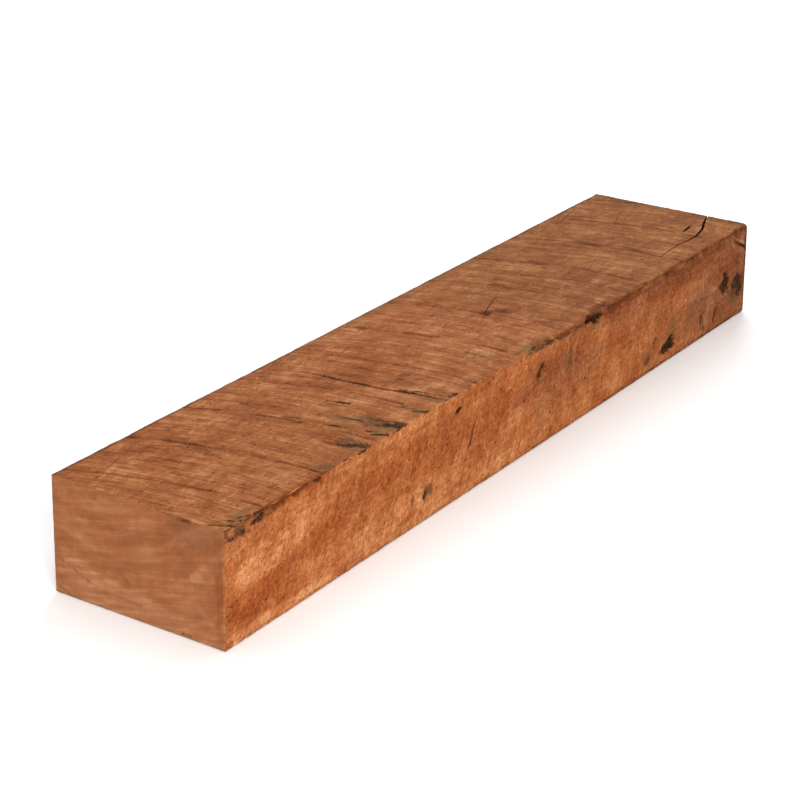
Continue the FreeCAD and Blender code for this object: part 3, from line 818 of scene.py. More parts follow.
@dataclass
class SawnStick:
    """The stick itself: squared, a little out of true, with a skin fine enough to carry marks."""

    low: Vector
    high: Vector
    width_taper: float = 2.4
    thickness: float = 75.0
    thickness_taper: float = 3.3
    cross_rise: float = 1.1
    near_skew: float = 3.0
    near_lean: float = 2.4
    far_skew: float = 2.3
    arris: float = 0.9
    mesh_size: float = 3.1
    wear_start: float = -105.0
    wear_leg: float = 2.6
    corner_leg: float = 2.0
    corner_run: float = 12.0
    ledge_leg: float = 3.4
    ledge: tuple[float, float, float, float] = (-8.0, 30.0, 95.0, 130.0)
    hidden_share: float = 0.8
    sunk: float = 0.6
    swell: float = 0.35
    end_sunk: float = 0.08
    end_fuzz: float = 0.05
    under_depth: float = 0.8
    arris_dip: float = 0.35
    arris_nibble: float = 0.6
    finest_depth: float = 0.7
    paint_depth: float = 6.0
    worn_width: float = 3.2
    saw: SawCut = SAW
    torn: TornFibre = TornFibre()
    sharp_turn: float = 48.0
    skin: Optional[bpy.types.Object] = None
    noise: dict[str, Wobble] = field(default_factory=dict)

    def __post_init__(self) -> None:
        """Seed one noise for each kind of roughness."""
        for seed, name in enumerate(("swell", "saw", "fuzz", "edge", "mark", "tear"), start=3):
            self.noise[name] = Wobble(seed)

    @property
    def half_width(self) -> float:
        """Half the width at the widest, in millimetres."""
        return self.high.x / MM

    @property
    def half_length(self) -> float:
        """Half the length, in millimetres."""
        return self.high.y / MM

    def top_at(self, across: np.ndarray, along: np.ndarray) -> np.ndarray:
        """The height of the sawn top, in millimetres.

        Args:
            across: x, in millimetres.
            along: y, in millimetres.

        Returns:
            The height over the underside.
        """
        middle = self.thickness + (self.cross_rise - self.thickness_taper) / 2
        lift = self.cross_rise / (2 * self.half_width)
        fall = self.thickness_taper / (2 * self.half_length)
        return middle - lift * across - fall * along

    def build(self, finishes: dict[Face, bpy.types.Material]) -> bpy.types.Object:
        """Make the stick's skin.

        Args:
            finishes: the finish of each face.

        Returns:
            The finished mesh object.
        """
        self._square_block()
        self._true_up()
        self._ease_arrises()
        self._rule_into_squares()
        self._name_faces(finishes)
        self._refine_near_marks()
        self._carve()
        return self.skin

    def _square_block(self) -> None:
        """Add the block at the size and place of the solid."""
        set_down()
        size = self.high - self.low
        bpy.ops.mesh.primitive_cube_add(size=1, location=(self.high + self.low) / 2, scale=size)
        self.skin = bpy.context.object
        self.skin.name = "sawn_post"
        bpy.ops.object.transform_apply(location=True, rotation=True, scale=True)

    def _shift(self, chosen: np.ndarray, move: tuple[float, float, float]) -> None:
        """Move some corners of the block.

        Args:
            chosen: which vertices move.
            move: how far, in millimetres.
        """
        select_only(self.skin, "vertices", chosen)
        bpy.ops.object.mode_set(mode="EDIT")
        bpy.ops.transform.translate(value=Vector(move) * MM)
        set_down(self.skin)

    def _true_up(self) -> None:
        """Take the block out of true: its taper, its sloping top and its two crosscuts."""
        corners = points_of(self.skin)
        left, near, up = corners[:, 0] < 0, corners[:, 1] < 0, corners[:, 2] > self.high.z / 2
        self._shift(left & near, (self.width_taper, 0, 0))
        self._shift(left & near, (0, self.near_skew, 0))
        self._shift(up & near, (0, self.near_lean, 0))
        self._shift(left & ~near, (0, -self.far_skew, 0))
        corners = points_of(self.skin) / MM
        for index in np.flatnonzero(up):
            across, along, height = corners[index]
            chosen = np.arange(len(corners)) == index
            drop = self.top_at(across, along) - height
            self._shift(chosen, (0, 0, drop))

    def _ease_arrises(self) -> None:
        """Break the twelve sharp edges."""
        select_only(self.skin, "edges", np.ones(len(self.skin.data.edges), bool))
        bpy.ops.object.mode_set(mode="EDIT")
        bpy.ops.mesh.bevel(offset=self.arris * MM, segments=2, profile=0.6, affect="EDGES")
        set_down(self.skin)

    def _edges_along(self, axis: int) -> np.ndarray:
        """Which edges run along an axis.

        Args:
            axis: 0, 1 or 2 for x, y or z.

        Returns:
            One truth value for each edge.
        """
        mesh, points = self.skin.data, points_of(self.skin)
        ends = np.empty(len(mesh.edges) * 2, int)
        mesh.edges.foreach_get("vertices", ends)
        ends = ends.reshape(-1, 2)
        span = points[ends[:, 1]] - points[ends[:, 0]]
        length = np.linalg.norm(span, axis=1)
        return (np.abs(span[:, axis]) > 0.97 * length) & (length > 2 * self.arris * MM)

    def _rule_into_squares(self) -> None:
        """Rule every face into squares, twice as fine where the stick is seen closest."""
        for axis, span in enumerate(self.high - self.low):
            rows = max(1, round(span / (self.mesh_size * MM)))
            first = max(1, rows // 60)
            for parts in (first, round(rows / first)):
                if parts > 1:
                    select_only(self.skin, "edges", self._edges_along(axis))
                    bpy.ops.object.mode_set(mode="EDIT")
                    bpy.ops.mesh.subdivide(number_cuts=parts - 1)
                    set_down(self.skin)
        normals = self._polygons()[1]
        seen = (Face.TOP, Face.POCKETED, Face.NEAR)
        self._split_faces(np.any([face.facing(normals) > 0.4 for face in seen], axis=0))

    def _polygons(self) -> tuple[np.ndarray, np.ndarray]:
        """The faces' centres and normals.

        Returns:
            Two N x 3 arrays, centres in metres.
        """
        polygons = self.skin.data.polygons
        centres, normals = np.empty(len(polygons) * 3), np.empty(len(polygons) * 3)
        polygons.foreach_get("center", centres)
        polygons.foreach_get("normal", normals)
        return centres.reshape(-1, 3), normals.reshape(-1, 3)

    def _split_faces(self, chosen: np.ndarray) -> None:
        """Cut some faces into four.

        Args:
            chosen: one truth value for each face.
        """
        select_only(self.skin, "polygons", chosen)
        bpy.ops.object.mode_set(mode="EDIT")
        bpy.ops.mesh.subdivide(number_cuts=1)
        set_down(self.skin)

    def _name_faces(self, finishes: dict[Face, bpy.types.Material]) -> None:
        """Give each face of the skin the finish of the side it belongs to.

        Args:
            finishes: the finish of each face.
        """
        normals = self._polygons()[1]
        slots = np.argmax([face.facing(normals) for face in Face], axis=0)
        for face in Face:
            self.skin.data.materials.append(finishes[face])
        self.skin.data.polygons.foreach_set("material_index", slots)

    def _shown(self, mark: Union[Mark, Vein], points: np.ndarray) -> np.ndarray:
        """How strongly a mark shows at each of N points, in millimetres."""
        return mark.amount(mark.face.plan(points), self.noise["mark"])

    def _refine_near_marks(self) -> None:
        """Cut the skin finer where something is carved into it."""
        centres, normals = self._polygons()
        near = np.zeros(len(centres), bool)
        for mark in MARKS:
            if mark.depth >= self.finest_depth:
                square = mark.face.facing(normals) > 0.9
                near |= square & (self._shown(mark, centres / MM) > 0.05)
        LOG.info("skin refined at %d faces", near.sum())
        self._split_faces(near)

    def _carve(self) -> None:
        """Press every kind of roughness and every pocket into the skin."""
        points, normals, noise = points_of(self.skin) / MM, normals_of(self.skin), self.noise
        across, along = points[:, 0], points[:, 1]
        relief = {
            Face.TOP: self.saw.relief(across, along, noise),
            Face.UNDER: self.hidden_share * self.saw.relief(-across, along + 21, noise),
            Face.POCKETED: self.torn.relief(points, Face.POCKETED, noise),
            Face.BACK: self.hidden_share * self.torn.relief(points, Face.BACK, noise),
            Face.NEAR: self.end_fuzz * noise["fuzz"](points, (1.5, 1.5, 6.0)),
            Face.FAR: self.end_fuzz * noise["fuzz"](points, (1.5, 1.5, 6.0)),
        }
        swell = self.swell * noise["swell"](points, (70.0, 120.0, 60.0), octaves=2) - self.sunk
        weight = {face: np.clip(face.facing(normals), 0, 1) ** 2 for face in Face}
        total = np.zeros(len(points))
        for face in Face:
            sunk = relief[face] + (-self.end_sunk if face in CROSSCUTS else swell)
            for mark in MARKS:
                if mark.face is face and mark.depth > 0:
                    sunk = sunk - mark.depth * self._shown(mark, points)
            total += weight[face] * np.minimum(sunk, 0.0)
        total = np.where(weight[Face.UNDER] > 0.5, np.maximum(total, -self.under_depth), total)
        arris = 1.0 - np.max(list(weight.values()), axis=0)
        nibble = noise["edge"](points, (3.0, 5.0, 3.0), octaves=3)
        bite = self.arris_dip + self.arris_nibble * np.clip(nibble, -0.5, 1.0)
        total -= np.clip(arris * 2, 0, 1) * bite
        points = self._knock_off_arris(points + normals * total[:, None])
        self.skin.data.vertices.foreach_set("co", (points * MM).ravel())
        self.skin.data.update()

    def _knock_off_arris(self, points: np.ndarray) -> np.ndarray:
        """Round the top arris on the pocketed side, most along a torn ledge past the middle.

        Args:
            points: N x 3 points, in millimetres.

        Returns:
            The points, moved.
        """
        across, along, height = points.T
        run = np.clip((along - self.wear_start) / (self.half_length - self.wear_start), 0, 1)
        ragged = self.noise["tear"](points, (9.0, 22.0, 9.0), octaves=3)
        leg = self.wear_leg * run * (1.0 + 0.5 * ragged) + 0.6 * np.clip(ragged, 0, 1)
        corner = ease(along, self.half_length - self.corner_run, self.half_length)
        start, full, fading, stop = self.ledge
        ledge = ease(along, start, full) * ease(along, stop, fading)
        leg = leg + self.corner_leg * corner + self.ledge_leg * ledge
        over = (across - self.half_width) + (height - self.top_at(across, along)) + leg
        push = np.clip(over, 0, None) * 0.42
        moved = points.copy()
        moved[:, 0] -= push
        moved[:, 2] -= push
        return moved

    def cut_splits(self, splits: Iterable[Split], wall: bpy.types.Material) -> None:
        """Open the drying splits in the top.

        Args:
            splits: the splits.
            wall: the finish of their inside faces.
        """
        for split in splits:
            cutter = self._wedge(split)
            cutter.data.materials.append(wall)
            set_down(self.skin)
            cut = self.skin.modifiers.new("split", "BOOLEAN")
            cut.operation, cut.solver, cut.material_mode = "DIFFERENCE", "MANIFOLD", "TRANSFER"
            cut.object = cutter
            bpy.ops.object.modifier_apply(modifier=cut.name)
            bpy.data.objects.remove(cutter)
            LOG.info("after the split at %s: %d faces", split.points[0], len(self.skin.data.polygons))

    def _wedge(self, split: Split) -> bpy.types.Object:
        """A thin wedge, point down, that follows a split.

        Args:
            split: the split.

        Returns:
            The wedge, as a closed mesh.
        """
        lift = 2.0
        first = split.points[0]
        set_down()
        bpy.ops.mesh.primitive_circle_add(
            vertices=3, radius=1, fill_type="NGON", rotation=(-math.pi / 2, 0, 0)
        )
        wedge = bpy.context.object
        bpy.ops.object.transform_apply(location=True, rotation=True, scale=True)
        bpy.ops.object.mode_set(mode="EDIT")
        bpy.ops.mesh.select_all(action="SELECT")
        base_half, base_high = math.sqrt(0.75), 0.5
        deep = (self._split_depth(split, 0) + lift) / (1.0 + base_high)
        grown = Vector((first[2] / 2 / base_half, 1.0, deep)) * MM
        bpy.ops.transform.resize(value=grown, center_override=(0, 0, 0))
        surface = self.top_at(first[1], first[0])
        place = Vector((first[1], first[0], surface + lift - base_high * deep)) * MM
        bpy.ops.transform.translate(value=place)
        for index, (start, stop) in enumerate(zip(split.points, split.points[1:])):
            surface = self.top_at(stop[1], stop[0])
            drop = surface - self.top_at(start[1], start[0])
            step = Vector((stop[1] - start[1], stop[0] - start[0], drop)) * MM
            bpy.ops.mesh.extrude_region_move(TRANSFORM_OT_translate={"value": step})
            before = self._split_depth(split, index) + lift
            after = self._split_depth(split, index + 1) + lift
            grown = (stop[2] / start[2], 1.0, after / before)
            pivot = Vector((stop[1], stop[0], surface + lift)) * MM
            bpy.ops.transform.resize(value=grown, center_override=pivot)
        bpy.ops.mesh.select_all(action="SELECT")
        bpy.ops.mesh.normals_make_consistent(inside=False)
        set_down(wedge)
        return wedge

    def _split_depth(self, split: Split, index: int) -> float:
        """How deep a split goes at one of its points: with its gap, in millimetres."""
        widest = max(point[2] for point in split.points)
        return max(1.0, split.depth * split.points[index][2] / widest)

    def paint_layers(self) -> None:
        """Write every mark's strength into the mesh layers that the finishes read."""
        points, normals = points_of(self.skin) / MM, normals_of(self.skin)
        sunk = {
            Face.TOP: self.top_at(points[:, 0], points[:, 1]) - points[:, 2],
            Face.POCKETED: self.half_width - points[:, 0],
            Face.BACK: self.half_width + points[:, 0],
            Face.NEAR: self.half_length + points[:, 1],
        }
        least = {face: 0.6 if face in CROSSCUTS else 0.45 for face in sunk}
        on = {
            face: (deep < self.paint_depth) & (face.facing(normals) > least[face])
            for face, deep in sunk.items()
        }
        for layer in Layer:
            total = self._wear(points) if layer is Layer.WEAR else np.zeros(len(points))
            for mark in MARKS:
                if mark.layer is layer:
                    total = np.maximum(total, np.where(on[mark.face], self._shown(mark, points), 0))
            attribute = self.skin.data.attributes.new(layer.value, "FLOAT", "POINT")
            attribute.data.foreach_set("value", total.astype(np.float32))

    def _wear(self, points: np.ndarray) -> np.ndarray:
        """How worn each place is, in the near half: 1 on an arris, and 0 a few millimetres off it.

        Args:
            points: N x 3 points, in millimetres.

        Returns:
            N amounts, 0 to 1.
        """
        across, along, height = points.T
        gaps = np.sort(np.abs(np.stack([
            self.half_width - across, self.half_width + across,
            self.top_at(across, along) - height, height,
            self.half_length - along, self.half_length + along,
        ])), axis=0)
        return ease(gaps[1], self.worn_width, 0.6) * ease(along, 60.0, -60.0)

    def finish_normals(self) -> None:
        """Shade the skin smooth, but leave its real corners sharp."""
        set_down(self.skin)
        bpy.ops.object.shade_smooth_by_angle(angle=math.radians(self.sharp_turn))


# ------------------------------------------------------------------------------ finishes


# Where on the ramp from the darkest line to the palest fibre each tone stands.
LINE_TONE, DARK_TONE, MIDDLE_TONE, LIGHT_TONE = 0.08, 0.3, 0.53, 0.88


@dataclass(frozen=True)
class WoodTones:
    """The colours of one finish of wood, and how far its pale and rusty patches and its painted shade
    over duller wood shift them.
    """

    line: tuple[float, ...]
    dark: tuple[float, ...]
    mid: tuple[float, ...]
    light: tuple[float, ...]
    straw: tuple[float, ...] = (1.35, 1.65, 2.0, 1.0)
    rust: tuple[float, ...] = (0.82, 0.66, 0.55, 1.0)
    # The tint of the painted shade and the duller wood under it.
    dusk: tuple[float, ...] = (0.66, 0.71, 0.86, 1.0)


class Tree:
    """A short-hand for a node tree: each method adds a node and gives back its output."""

    def __init__(self, tree: bpy.types.NodeTree) -> None:
        """Take hold of a tree.

        Args:
            tree: the node tree to add to.
        """
        self.tree = tree

    def node(self, kind: str, inputs: Optional[dict] = None, **settings: object) -> bpy.types.Node:
        """Add one node.

        Args:
            kind: the node's type.
            inputs: what each input gets, by name or number: a socket or a plain value.
            settings: the node's own settings.

        Returns:
            The node.
        """
        made = self.tree.nodes.new(kind)
        for name, value in settings.items():
            setattr(made, name, value)
        for name, value in (inputs or {}).items():
            if isinstance(value, bpy.types.NodeSocket):
                self.tree.links.new(value, made.inputs[name])
            else:
                made.inputs[name].default_value = value
        return made

    def math(self, operation: str, *values: object) -> bpy.types.NodeSocket:
        """Arithmetic on numbers or sockets."""
        return self.node("ShaderNodeMath", dict(enumerate(values)), operation=operation).outputs[0]

    def total(self, *parts: tuple[object, float]) -> bpy.types.NodeSocket:
        """Add up weighted parts.

        Args:
            parts: (value, weight) pairs.

        Returns:
            The sum.
        """
        value: object = 0.0
        for part, weight in parts:
            value = self.math("MULTIPLY_ADD", part, weight, value)
        return value

    def balanced(self, *parts: tuple[object, float]) -> bpy.types.NodeSocket:
        """The sum of weighted parts, each about a half, moved to lie about the middle tone."""
        middle = MIDDLE_TONE - sum(weight for _, weight in parts) / 2
        return self.total(*parts, (1.0, middle))

    def place(self, x: object, y: object, z: object = 0.0) -> bpy.types.NodeSocket:
        """A vector from three numbers or sockets."""
        return self.node("ShaderNodeCombineXYZ", {0: x, 1: y, 2: z}).outputs[0]

    def split(self, vector: object) -> tuple[bpy.types.NodeSocket, ...]:
        """The three parts of a vector."""
        return tuple(self.node("ShaderNodeSeparateXYZ", {0: vector}).outputs)

    def grain(
        self, parts: Sequence[object], size: Sequence[float], detail: float = 3.0, roughness: float = 0.65
    ) -> bpy.types.NodeSocket:
        """Fractal noise, stretched along the axes.

        Args:
            parts: the place, as numbers or sockets in metres.
            size: the size of one lump along each part, in millimetres.
            detail: how much finer detail it has.
            roughness: how strong that detail is.

        Returns:
            The noise, about a half.
        """
        scaled = [self.math("MULTIPLY", part, 1 / (length * MM)) for part, length in zip(parts, size)]
        inputs = {"Vector": self.place(*scaled), "Scale": 0.5, "Detail": detail, "Roughness": roughness}
        return self.node("ShaderNodeTexNoise", inputs).outputs["Fac"]

    def remap(self, value: object, low: float, high: float) -> bpy.types.NodeSocket:
        """A smooth step from 0 at low to 1 at high. It falls where low is above high.

        Args:
            value: the number or socket to step.
            low: where the step starts.
            high: where it ends.

        Returns:
            The stepped value, 0 to 1.
        """
        if low > high:
            return self.math("SUBTRACT", 1.0, self.remap(value, high, low))
        inputs = {"Value": value, "From Min": low, "From Max": high}
        return self.node("ShaderNodeMapRange", inputs, interpolation_type="SMOOTHSTEP").outputs[0]

    def mix(self, share: object, under: object, over: object, blend: str = "MIX") -> bpy.types.NodeSocket:
        """Lay one colour over another, by the Mix node's colour sockets."""
        inputs = {0: share, 6: under, 7: over}
        return self.node("ShaderNodeMix", inputs, data_type="RGBA", blend_type=blend).outputs[2]

    def tones(self, value: object, tones: WoodTones) -> bpy.types.NodeSocket:
        """Wood colour from a number: below the middle tone darker, above it paler.

        Args:
            value: the number.
            tones: the colours.

        Returns:
            The colour.
        """
        made = self.node("ShaderNodeValToRGB", {0: value})
        ramp = made.color_ramp
        ramp.elements[0].position, ramp.elements[0].color = LINE_TONE, tones.line
        ramp.elements[1].position, ramp.elements[1].color = LIGHT_TONE, tones.light
        ramp.elements.new(DARK_TONE).color = tones.dark
        ramp.elements.new(MIDDLE_TONE + 0.01).color = tones.mid
        return made.outputs[0]

    def axes(self) -> tuple[bpy.types.NodeSocket, ...]:
        """The stick's own x, y and z, in metres."""
        return self.split(self.node("ShaderNodeTexCoord").outputs["Object"])

    def group(self, group: bpy.types.NodeTree, **inputs: object) -> bpy.types.NodeOutputs:
        """Place a node group and fill its inputs; an underscore in a name stands for a space."""
        named = {name.replace("_", " "): value for name, value in inputs.items()}
        return self.node("ShaderNodeGroup", named, node_tree=group).outputs

    def marks(
        self, group: bpy.types.NodeTree, tones: WoodTones, **inputs: object
    ) -> bpy.types.NodeOutputs:
        """Place the marks group and feed it every painted layer of the mesh.

        Args:
            group: the marks group.
            tones: the tones of the finish, for the tints.
            inputs: the group's other inputs.

        Returns:
            The group's outputs.
        """
        for layer in Layer:
            paint = self.node("ShaderNodeAttribute", attribute_name=layer.value)
            inputs[layer.value.capitalize()] = paint.outputs["Fac"]
        # The last tint multiplies in painted shade over duller wood.
        tints = {"Straw_Tint": tones.straw, "Rust_Tint": tones.rust, "Dusk_Tint": tones.dusk}
        return self.group(group, **tints, **inputs)


def new_group(
    name: str, inputs: dict[str, object], outputs: dict[str, str]
) -> tuple[Tree, bpy.types.NodeOutputs, Callable[..., None]]:
    """Start a node group.

    Args:
        name: the group's name.
        inputs: each input's name and default: a number, a vector or a colour.
        outputs: each output's name and kind, "Float" or "Color".

    Returns:
        Its tree, its inputs inside the group, and a function that takes the outputs by name.
    """
    tree = bpy.data.node_groups.new(name, "ShaderNodeTree")
    kinds = {3: "NodeSocketVector", 4: "NodeSocketColor"}
    for label, value in inputs.items():
        kind = kinds[len(value)] if isinstance(value, tuple) else "NodeSocketFloat"
        tree.interface.new_socket(label, in_out="INPUT", socket_type=kind).default_value = value
    for label, kind in outputs.items():
        tree.interface.new_socket(label, in_out="OUTPUT", socket_type=f"NodeSocket{kind}")
    given = tree.nodes.new("NodeGroupInput").outputs
    taken = tree.nodes.new("NodeGroupOutput").inputs

    def give(**values: bpy.types.NodeSocket) -> None:
        """Link the group's outputs."""
        for label, value in values.items():
            tree.links.new(value, taken[label.replace("_", " ")])

    return Tree(tree), given, give


@dataclass
class Effects:
    """The effects that several finishes share, each built once as a node group."""

    saw: Optional[bpy.types.NodeTree] = None
    fibre: Optional[bpy.types.NodeTree] = None
    marks: Optional[bpy.types.NodeTree] = None

    def build(self) -> "Effects":
        """Build every group.

        Returns:
            This set of effects.
        """
        self.saw = self._saw_strokes()
        self.fibre = self._torn_fibres()
        self.marks = self._timber_marks()
        return self

    def _saw_strokes(self) -> bpy.types.NodeTree:
        """Strokes of a circular saw: fine lines, and a heavier kick once a turn.

        Returns:
            The group.
        """
        tree, given, give = new_group(
            "saw_strokes",
            {
                "Along": 0.0, "Across": 0.0, "Blade Radius": SAW.blade_radius * MM,
                "Blade Middle": SAW.blade_middle * MM, "Kick Pitch": SAW.kick_pitch * MM,
                "Kick First": SAW.kick_first * MM,
            },
            {"Fine": "Float", "Band": "Float", "Kick": "Float"},
        )
        along, across = given["Along"], given["Across"]
        reach = tree.math("ABSOLUTE", tree.math("SUBTRACT", across, given["Blade Middle"]))
        square = tree.math("POWER", given["Blade Radius"], 2.0)
        rest = tree.math("SQRT", tree.math("SUBTRACT", square, tree.math("POWER", reach, 2.0)))
        arc = tree.math("SUBTRACT", tree.math("ADD", along, given["Blade Radius"]), rest)
        fine = tree.grain((arc, across), (1.1, 12.0))
        band = tree.grain((arc, across), (3.6, 30.0), roughness=0.6)
        wander = tree.grain((arc, across), (16.0, 9.0))
        turns = tree.math("DIVIDE", tree.math("SUBTRACT", arc, given["Kick First"]), given["Kick Pitch"])
        turns = tree.math("MULTIPLY_ADD", tree.math("SUBTRACT", wander, 0.5), 0.09, turns)
        kick = tree.remap(tree.math("PINGPONG", turns, 0.5), 0.045, 0.004)
        gaps = tree.grain((arc, across), (34.0, 13.0))
        give(Fine=fine, Band=band, Kick=tree.math("MULTIPLY", kick, tree.remap(gaps, 0.34, 0.62)))
        return tree.tree

    def _torn_fibres(self) -> bpy.types.NodeTree:
        """Torn fibres along the grain, dark pores, lifted specks and broad cloudiness; the finishes paint
        the specks paler, a painted highlight on lifted fibres.

        Returns:
            The group.
        """
        tree, given, give = new_group(
            "torn_fibres",
            {"Grain": (0.0, 0.0, 0.0)},
            dict.fromkeys(("Fibre", "Scratch", "Pore", "Speck", "Cloud", "Mottle"), "Float"),
        )
        x, y, z = tree.split(given["Grain"])
        slant = tree.math("MULTIPLY_ADD", y, 0.3, x)
        fibre = tree.grain((x, y, z), (0.9, 9.0, 0.9))
        scratch = tree.grain((slant, y, z), (0.8, 9.0, 0.8), detail=1.0, roughness=0.55)
        pore = tree.grain((x, y, z), (0.8, 1.4, 0.8), detail=2.0, roughness=0.6)
        elsewhere = tree.math("ADD", x, 0.31)
        speck = tree.grain((elsewhere, y, z), (0.9, 1.7, 0.9), detail=2.0, roughness=0.6)
        give(
            Fibre=fibre, Scratch=tree.remap(scratch, 0.66, 0.78), Pore=tree.remap(pore, 0.6, 0.7),
            Speck=tree.remap(speck, 0.62, 0.72), Mottle=tree.grain((x, y, z), (3.2, 4.4, 3.2)),
            Cloud=tree.grain((x, y, z), (15.0, 22.0, 15.0), roughness=0.6),
        )
        return tree.tree

    def _timber_marks(self) -> bpy.types.NodeTree:
        """Pale, rusty, brown, stained and gummy patches, knocked arrises and broad painted shade, over a
        wood colour.

        Returns:
            The group.
        """
        tree, given, give = new_group(
            "timber_marks",
            {
                "Wood": (0.3, 0.1, 0.05, 1.0), "Grain": (0.0, 0.0, 0.0), "Streak": 0.5,
                **{layer.value.capitalize(): 0.0 for layer in Layer},
                **dict.fromkeys(("Straw Tint", "Rust Tint", "Dusk Tint"), (1.0, 1.0, 1.0, 1.0)),
            },
            {"Colour": "Color", "Gum": "Float"},
        )
        place = tree.split(given["Grain"])
        grit = tree.grain(place, (1.1, 1.4, 1.1), roughness=0.7)
        lump = tree.grain(place, (5.0, 7.0, 5.0), roughness=0.6)
        rough = tree.total(
            (tree.remap(grit, 0.3, 0.7), 0.5), (tree.remap(lump, 0.3, 0.7), 0.5),
            (tree.remap(given["Streak"], 0.32, 0.68), 0.9), (1.0, -0.95),
        )

        def ragged(name: str, low: float, high: float, broken: float, strength: float) -> object:
            """A layer with its edge broken up by grit and streaks.

            Args:
                name: the layer.
                low: the roughened amount at which it starts to show.
                high: the amount at which it shows in full.
                broken: how much the grit and the streaks count.
                strength: how strong it is in full.

            Returns:
                The mask's socket.
            """
            edge = tree.remap(tree.total((given[name], 1.0), (rough, broken)), low, high)
            inside = tree.remap(given[name], 0.02, 0.25)
            return tree.math("MULTIPLY", tree.math("MULTIPLY", edge, inside), strength)

        colour = given["Wood"]
        # Straw and rust are the wood's own pale and rusty patches; the last layer multiplies in painted
        # shade over duller wood.
        for name, broken in (("Straw", 0.1), ("Rust", 0.12), ("Dusk", 0.25)):
            shown = ragged(name, 0.0, 1.0, broken, 1.0)
            colour = tree.mix(shown, colour, given[f"{name} Tint"], "MULTIPLY")
        silt = tree.mix(tree.remap(lump, 0.38, 0.62), srgb(78, 54, 32), srgb(116, 88, 56))
        colour = tree.mix(ragged("Wear", 0.5, 1.4, 1.0, 0.25), colour, srgb(206, 146, 104))
        colour = tree.mix(ragged("Brown", 0.05, 1.0, 0.6, 0.8), colour, srgb(84, 42, 21))
        colour = tree.mix(ragged("Stain", 0.0, 1.0, 0.75, 0.7), colour, silt)
        gum = ragged("Gum", 0.15, 0.85, 0.85, 1.0)
        tar = tree.mix(tree.remap(grit, 0.4, 0.72), srgb(30, 17, 10), srgb(84, 50, 30))
        colour = tree.mix(tree.math("MULTIPLY", gum, 0.95), colour, tar)
        give(Colour=colour, Gum=gum)
        return tree.tree


@dataclass(frozen=True)
class Finish:
    """A dull, bare-wood finish: what every finish of the post starts and ends with."""

    name: str

    def start(self, rough: float, shine: float = 0.06) -> Tree:
        """Make the material.

        Args:
            rough: its roughness.
            shine: its specular level.

        Returns:
            Its tree.
        """
        material = bpy.data.materials.new(self.name)
        material.use_nodes = True
        shader = material.node_tree.nodes["Principled BSDF"]
        shader.inputs["Roughness"].default_value = rough
        shader.inputs["Specular IOR Level"].default_value = shine
        return Tree(material.node_tree)

    def close(
        self, tree: Tree, colour: object, height: object, relief: float, strength: float = 1.0
    ) -> bpy.types.Material:
        """Join the colour and the relief to the shader.

        Args:
            tree: the material's tree.
            colour: the colour's socket.
            height: the relief's socket.
            relief: the depth of that relief, in millimetres.
            strength: how much of the relief shows.

        Returns:
            The material.
        """
        heights = {"Strength": strength, "Distance": relief * MM, "Height": height}
        bump = tree.node("ShaderNodeBump", heights)
        shader = tree.tree.nodes["Principled BSDF"]
        tree.tree.links.new(colour, shader.inputs["Base Color"])
        tree.tree.links.new(bump.outputs[0], shader.inputs["Normal"])
        return bpy.data.materials[self.name]


@dataclass(frozen=True)
class LongGrain(Finish):
    """The finish of a sawn long face."""

    tones: WoodTones
    upright: bool = False
    strokes: float = 1.0
    wool: float = 0.0
    relief: float = 0.8
    blade_middle: float = SAW.blade_middle
    kick_first: float = SAW.kick_first
    shift: float = 0.0

    def build(self, effects: Effects) -> bpy.types.Material:
        """Make the material.

        Args:
            effects: the shared node groups.

        Returns:
            The material.
        """
        tree = self.start(rough=0.86)
        x, y, z = tree.axes()
        grain = tree.place(tree.math("ADD", x, self.shift), y, z)
        saw = tree.group(
            effects.saw, Along=y, Across=z if self.upright else x,
            Blade_Middle=self.blade_middle * MM, Kick_First=self.kick_first * MM,
        )
        fibre = tree.group(effects.fibre, Grain=grain)
        wool, lean, bands = self._wool(tree, y, z)
        sawn, furry = self.strokes, self.wool
        # The saw's fine strokes, bands and kicks darken the colour where their bump is low: painted shade
        # in the saw grooves, with torn grain and dirt in them.
        share = tree.balanced(
            (saw["Fine"], 0.76 * sawn), (saw["Band"], 0.6 * sawn), (fibre["Cloud"], 0.5),
            (fibre["Mottle"], 0.54 - 0.16 * furry), (fibre["Fibre"], 0.25), (wool, 0.85 * furry),
            (lean, 0.35 * furry), (bands, 0.45 * furry),
        )
        # The specks lift the colour paler: a painted highlight on lifted fibres.
        share = tree.total(
            (share, 1.0), (saw["Kick"], -0.3 * sawn), (fibre["Pore"], -0.24), (fibre["Speck"], 0.22),
            (fibre["Scratch"], 0.16 * sawn),
        )
        wood = tree.tones(share, self.tones)
        streak = tree.total((fibre["Mottle"], 0.6), (bands, 0.4)) if furry > 0.5 else saw["Fine"]
        marks = tree.marks(effects.marks, self.tones, Wood=wood, Grain=grain, Streak=streak)
        height = tree.total(
            (saw["Fine"], 0.9 * sawn), (saw["Band"], 0.5 * sawn), (saw["Kick"], -0.5 * sawn),
            (wool, 1.1 * furry), (lean, 0.9 * furry), (fibre["Fibre"], 0.5), (fibre["Mottle"], 0.6),
            (fibre["Pore"], -0.35), (fibre["Speck"], 0.3), (marks["Gum"], -0.4),
        )
        return self.close(tree, marks["Colour"], height, self.relief)

    def _wool(self, tree: Tree, along: object, up: object) -> tuple[bpy.types.NodeSocket, ...]:
        """Furry saw strokes on a side.

        Args:
            tree: the material's tree.
            along: the place along the post.
            up: the height.

        Returns:
            Short tufts, leaning strokes and broad upright bands, each about a half.
        """
        lean = tree.math("MULTIPLY_ADD", up, -0.5, along)
        tufts = tree.grain((lean, up), (1.2, 1.6), roughness=0.7)
        strokes = tree.grain((lean, up), (2.2, 9.0))
        upright = tree.math("MULTIPLY_ADD", up, -0.12, along)
        bands = tree.grain((upright, up), (7.0, 26.0), roughness=0.6)
        return tufts, strokes, bands


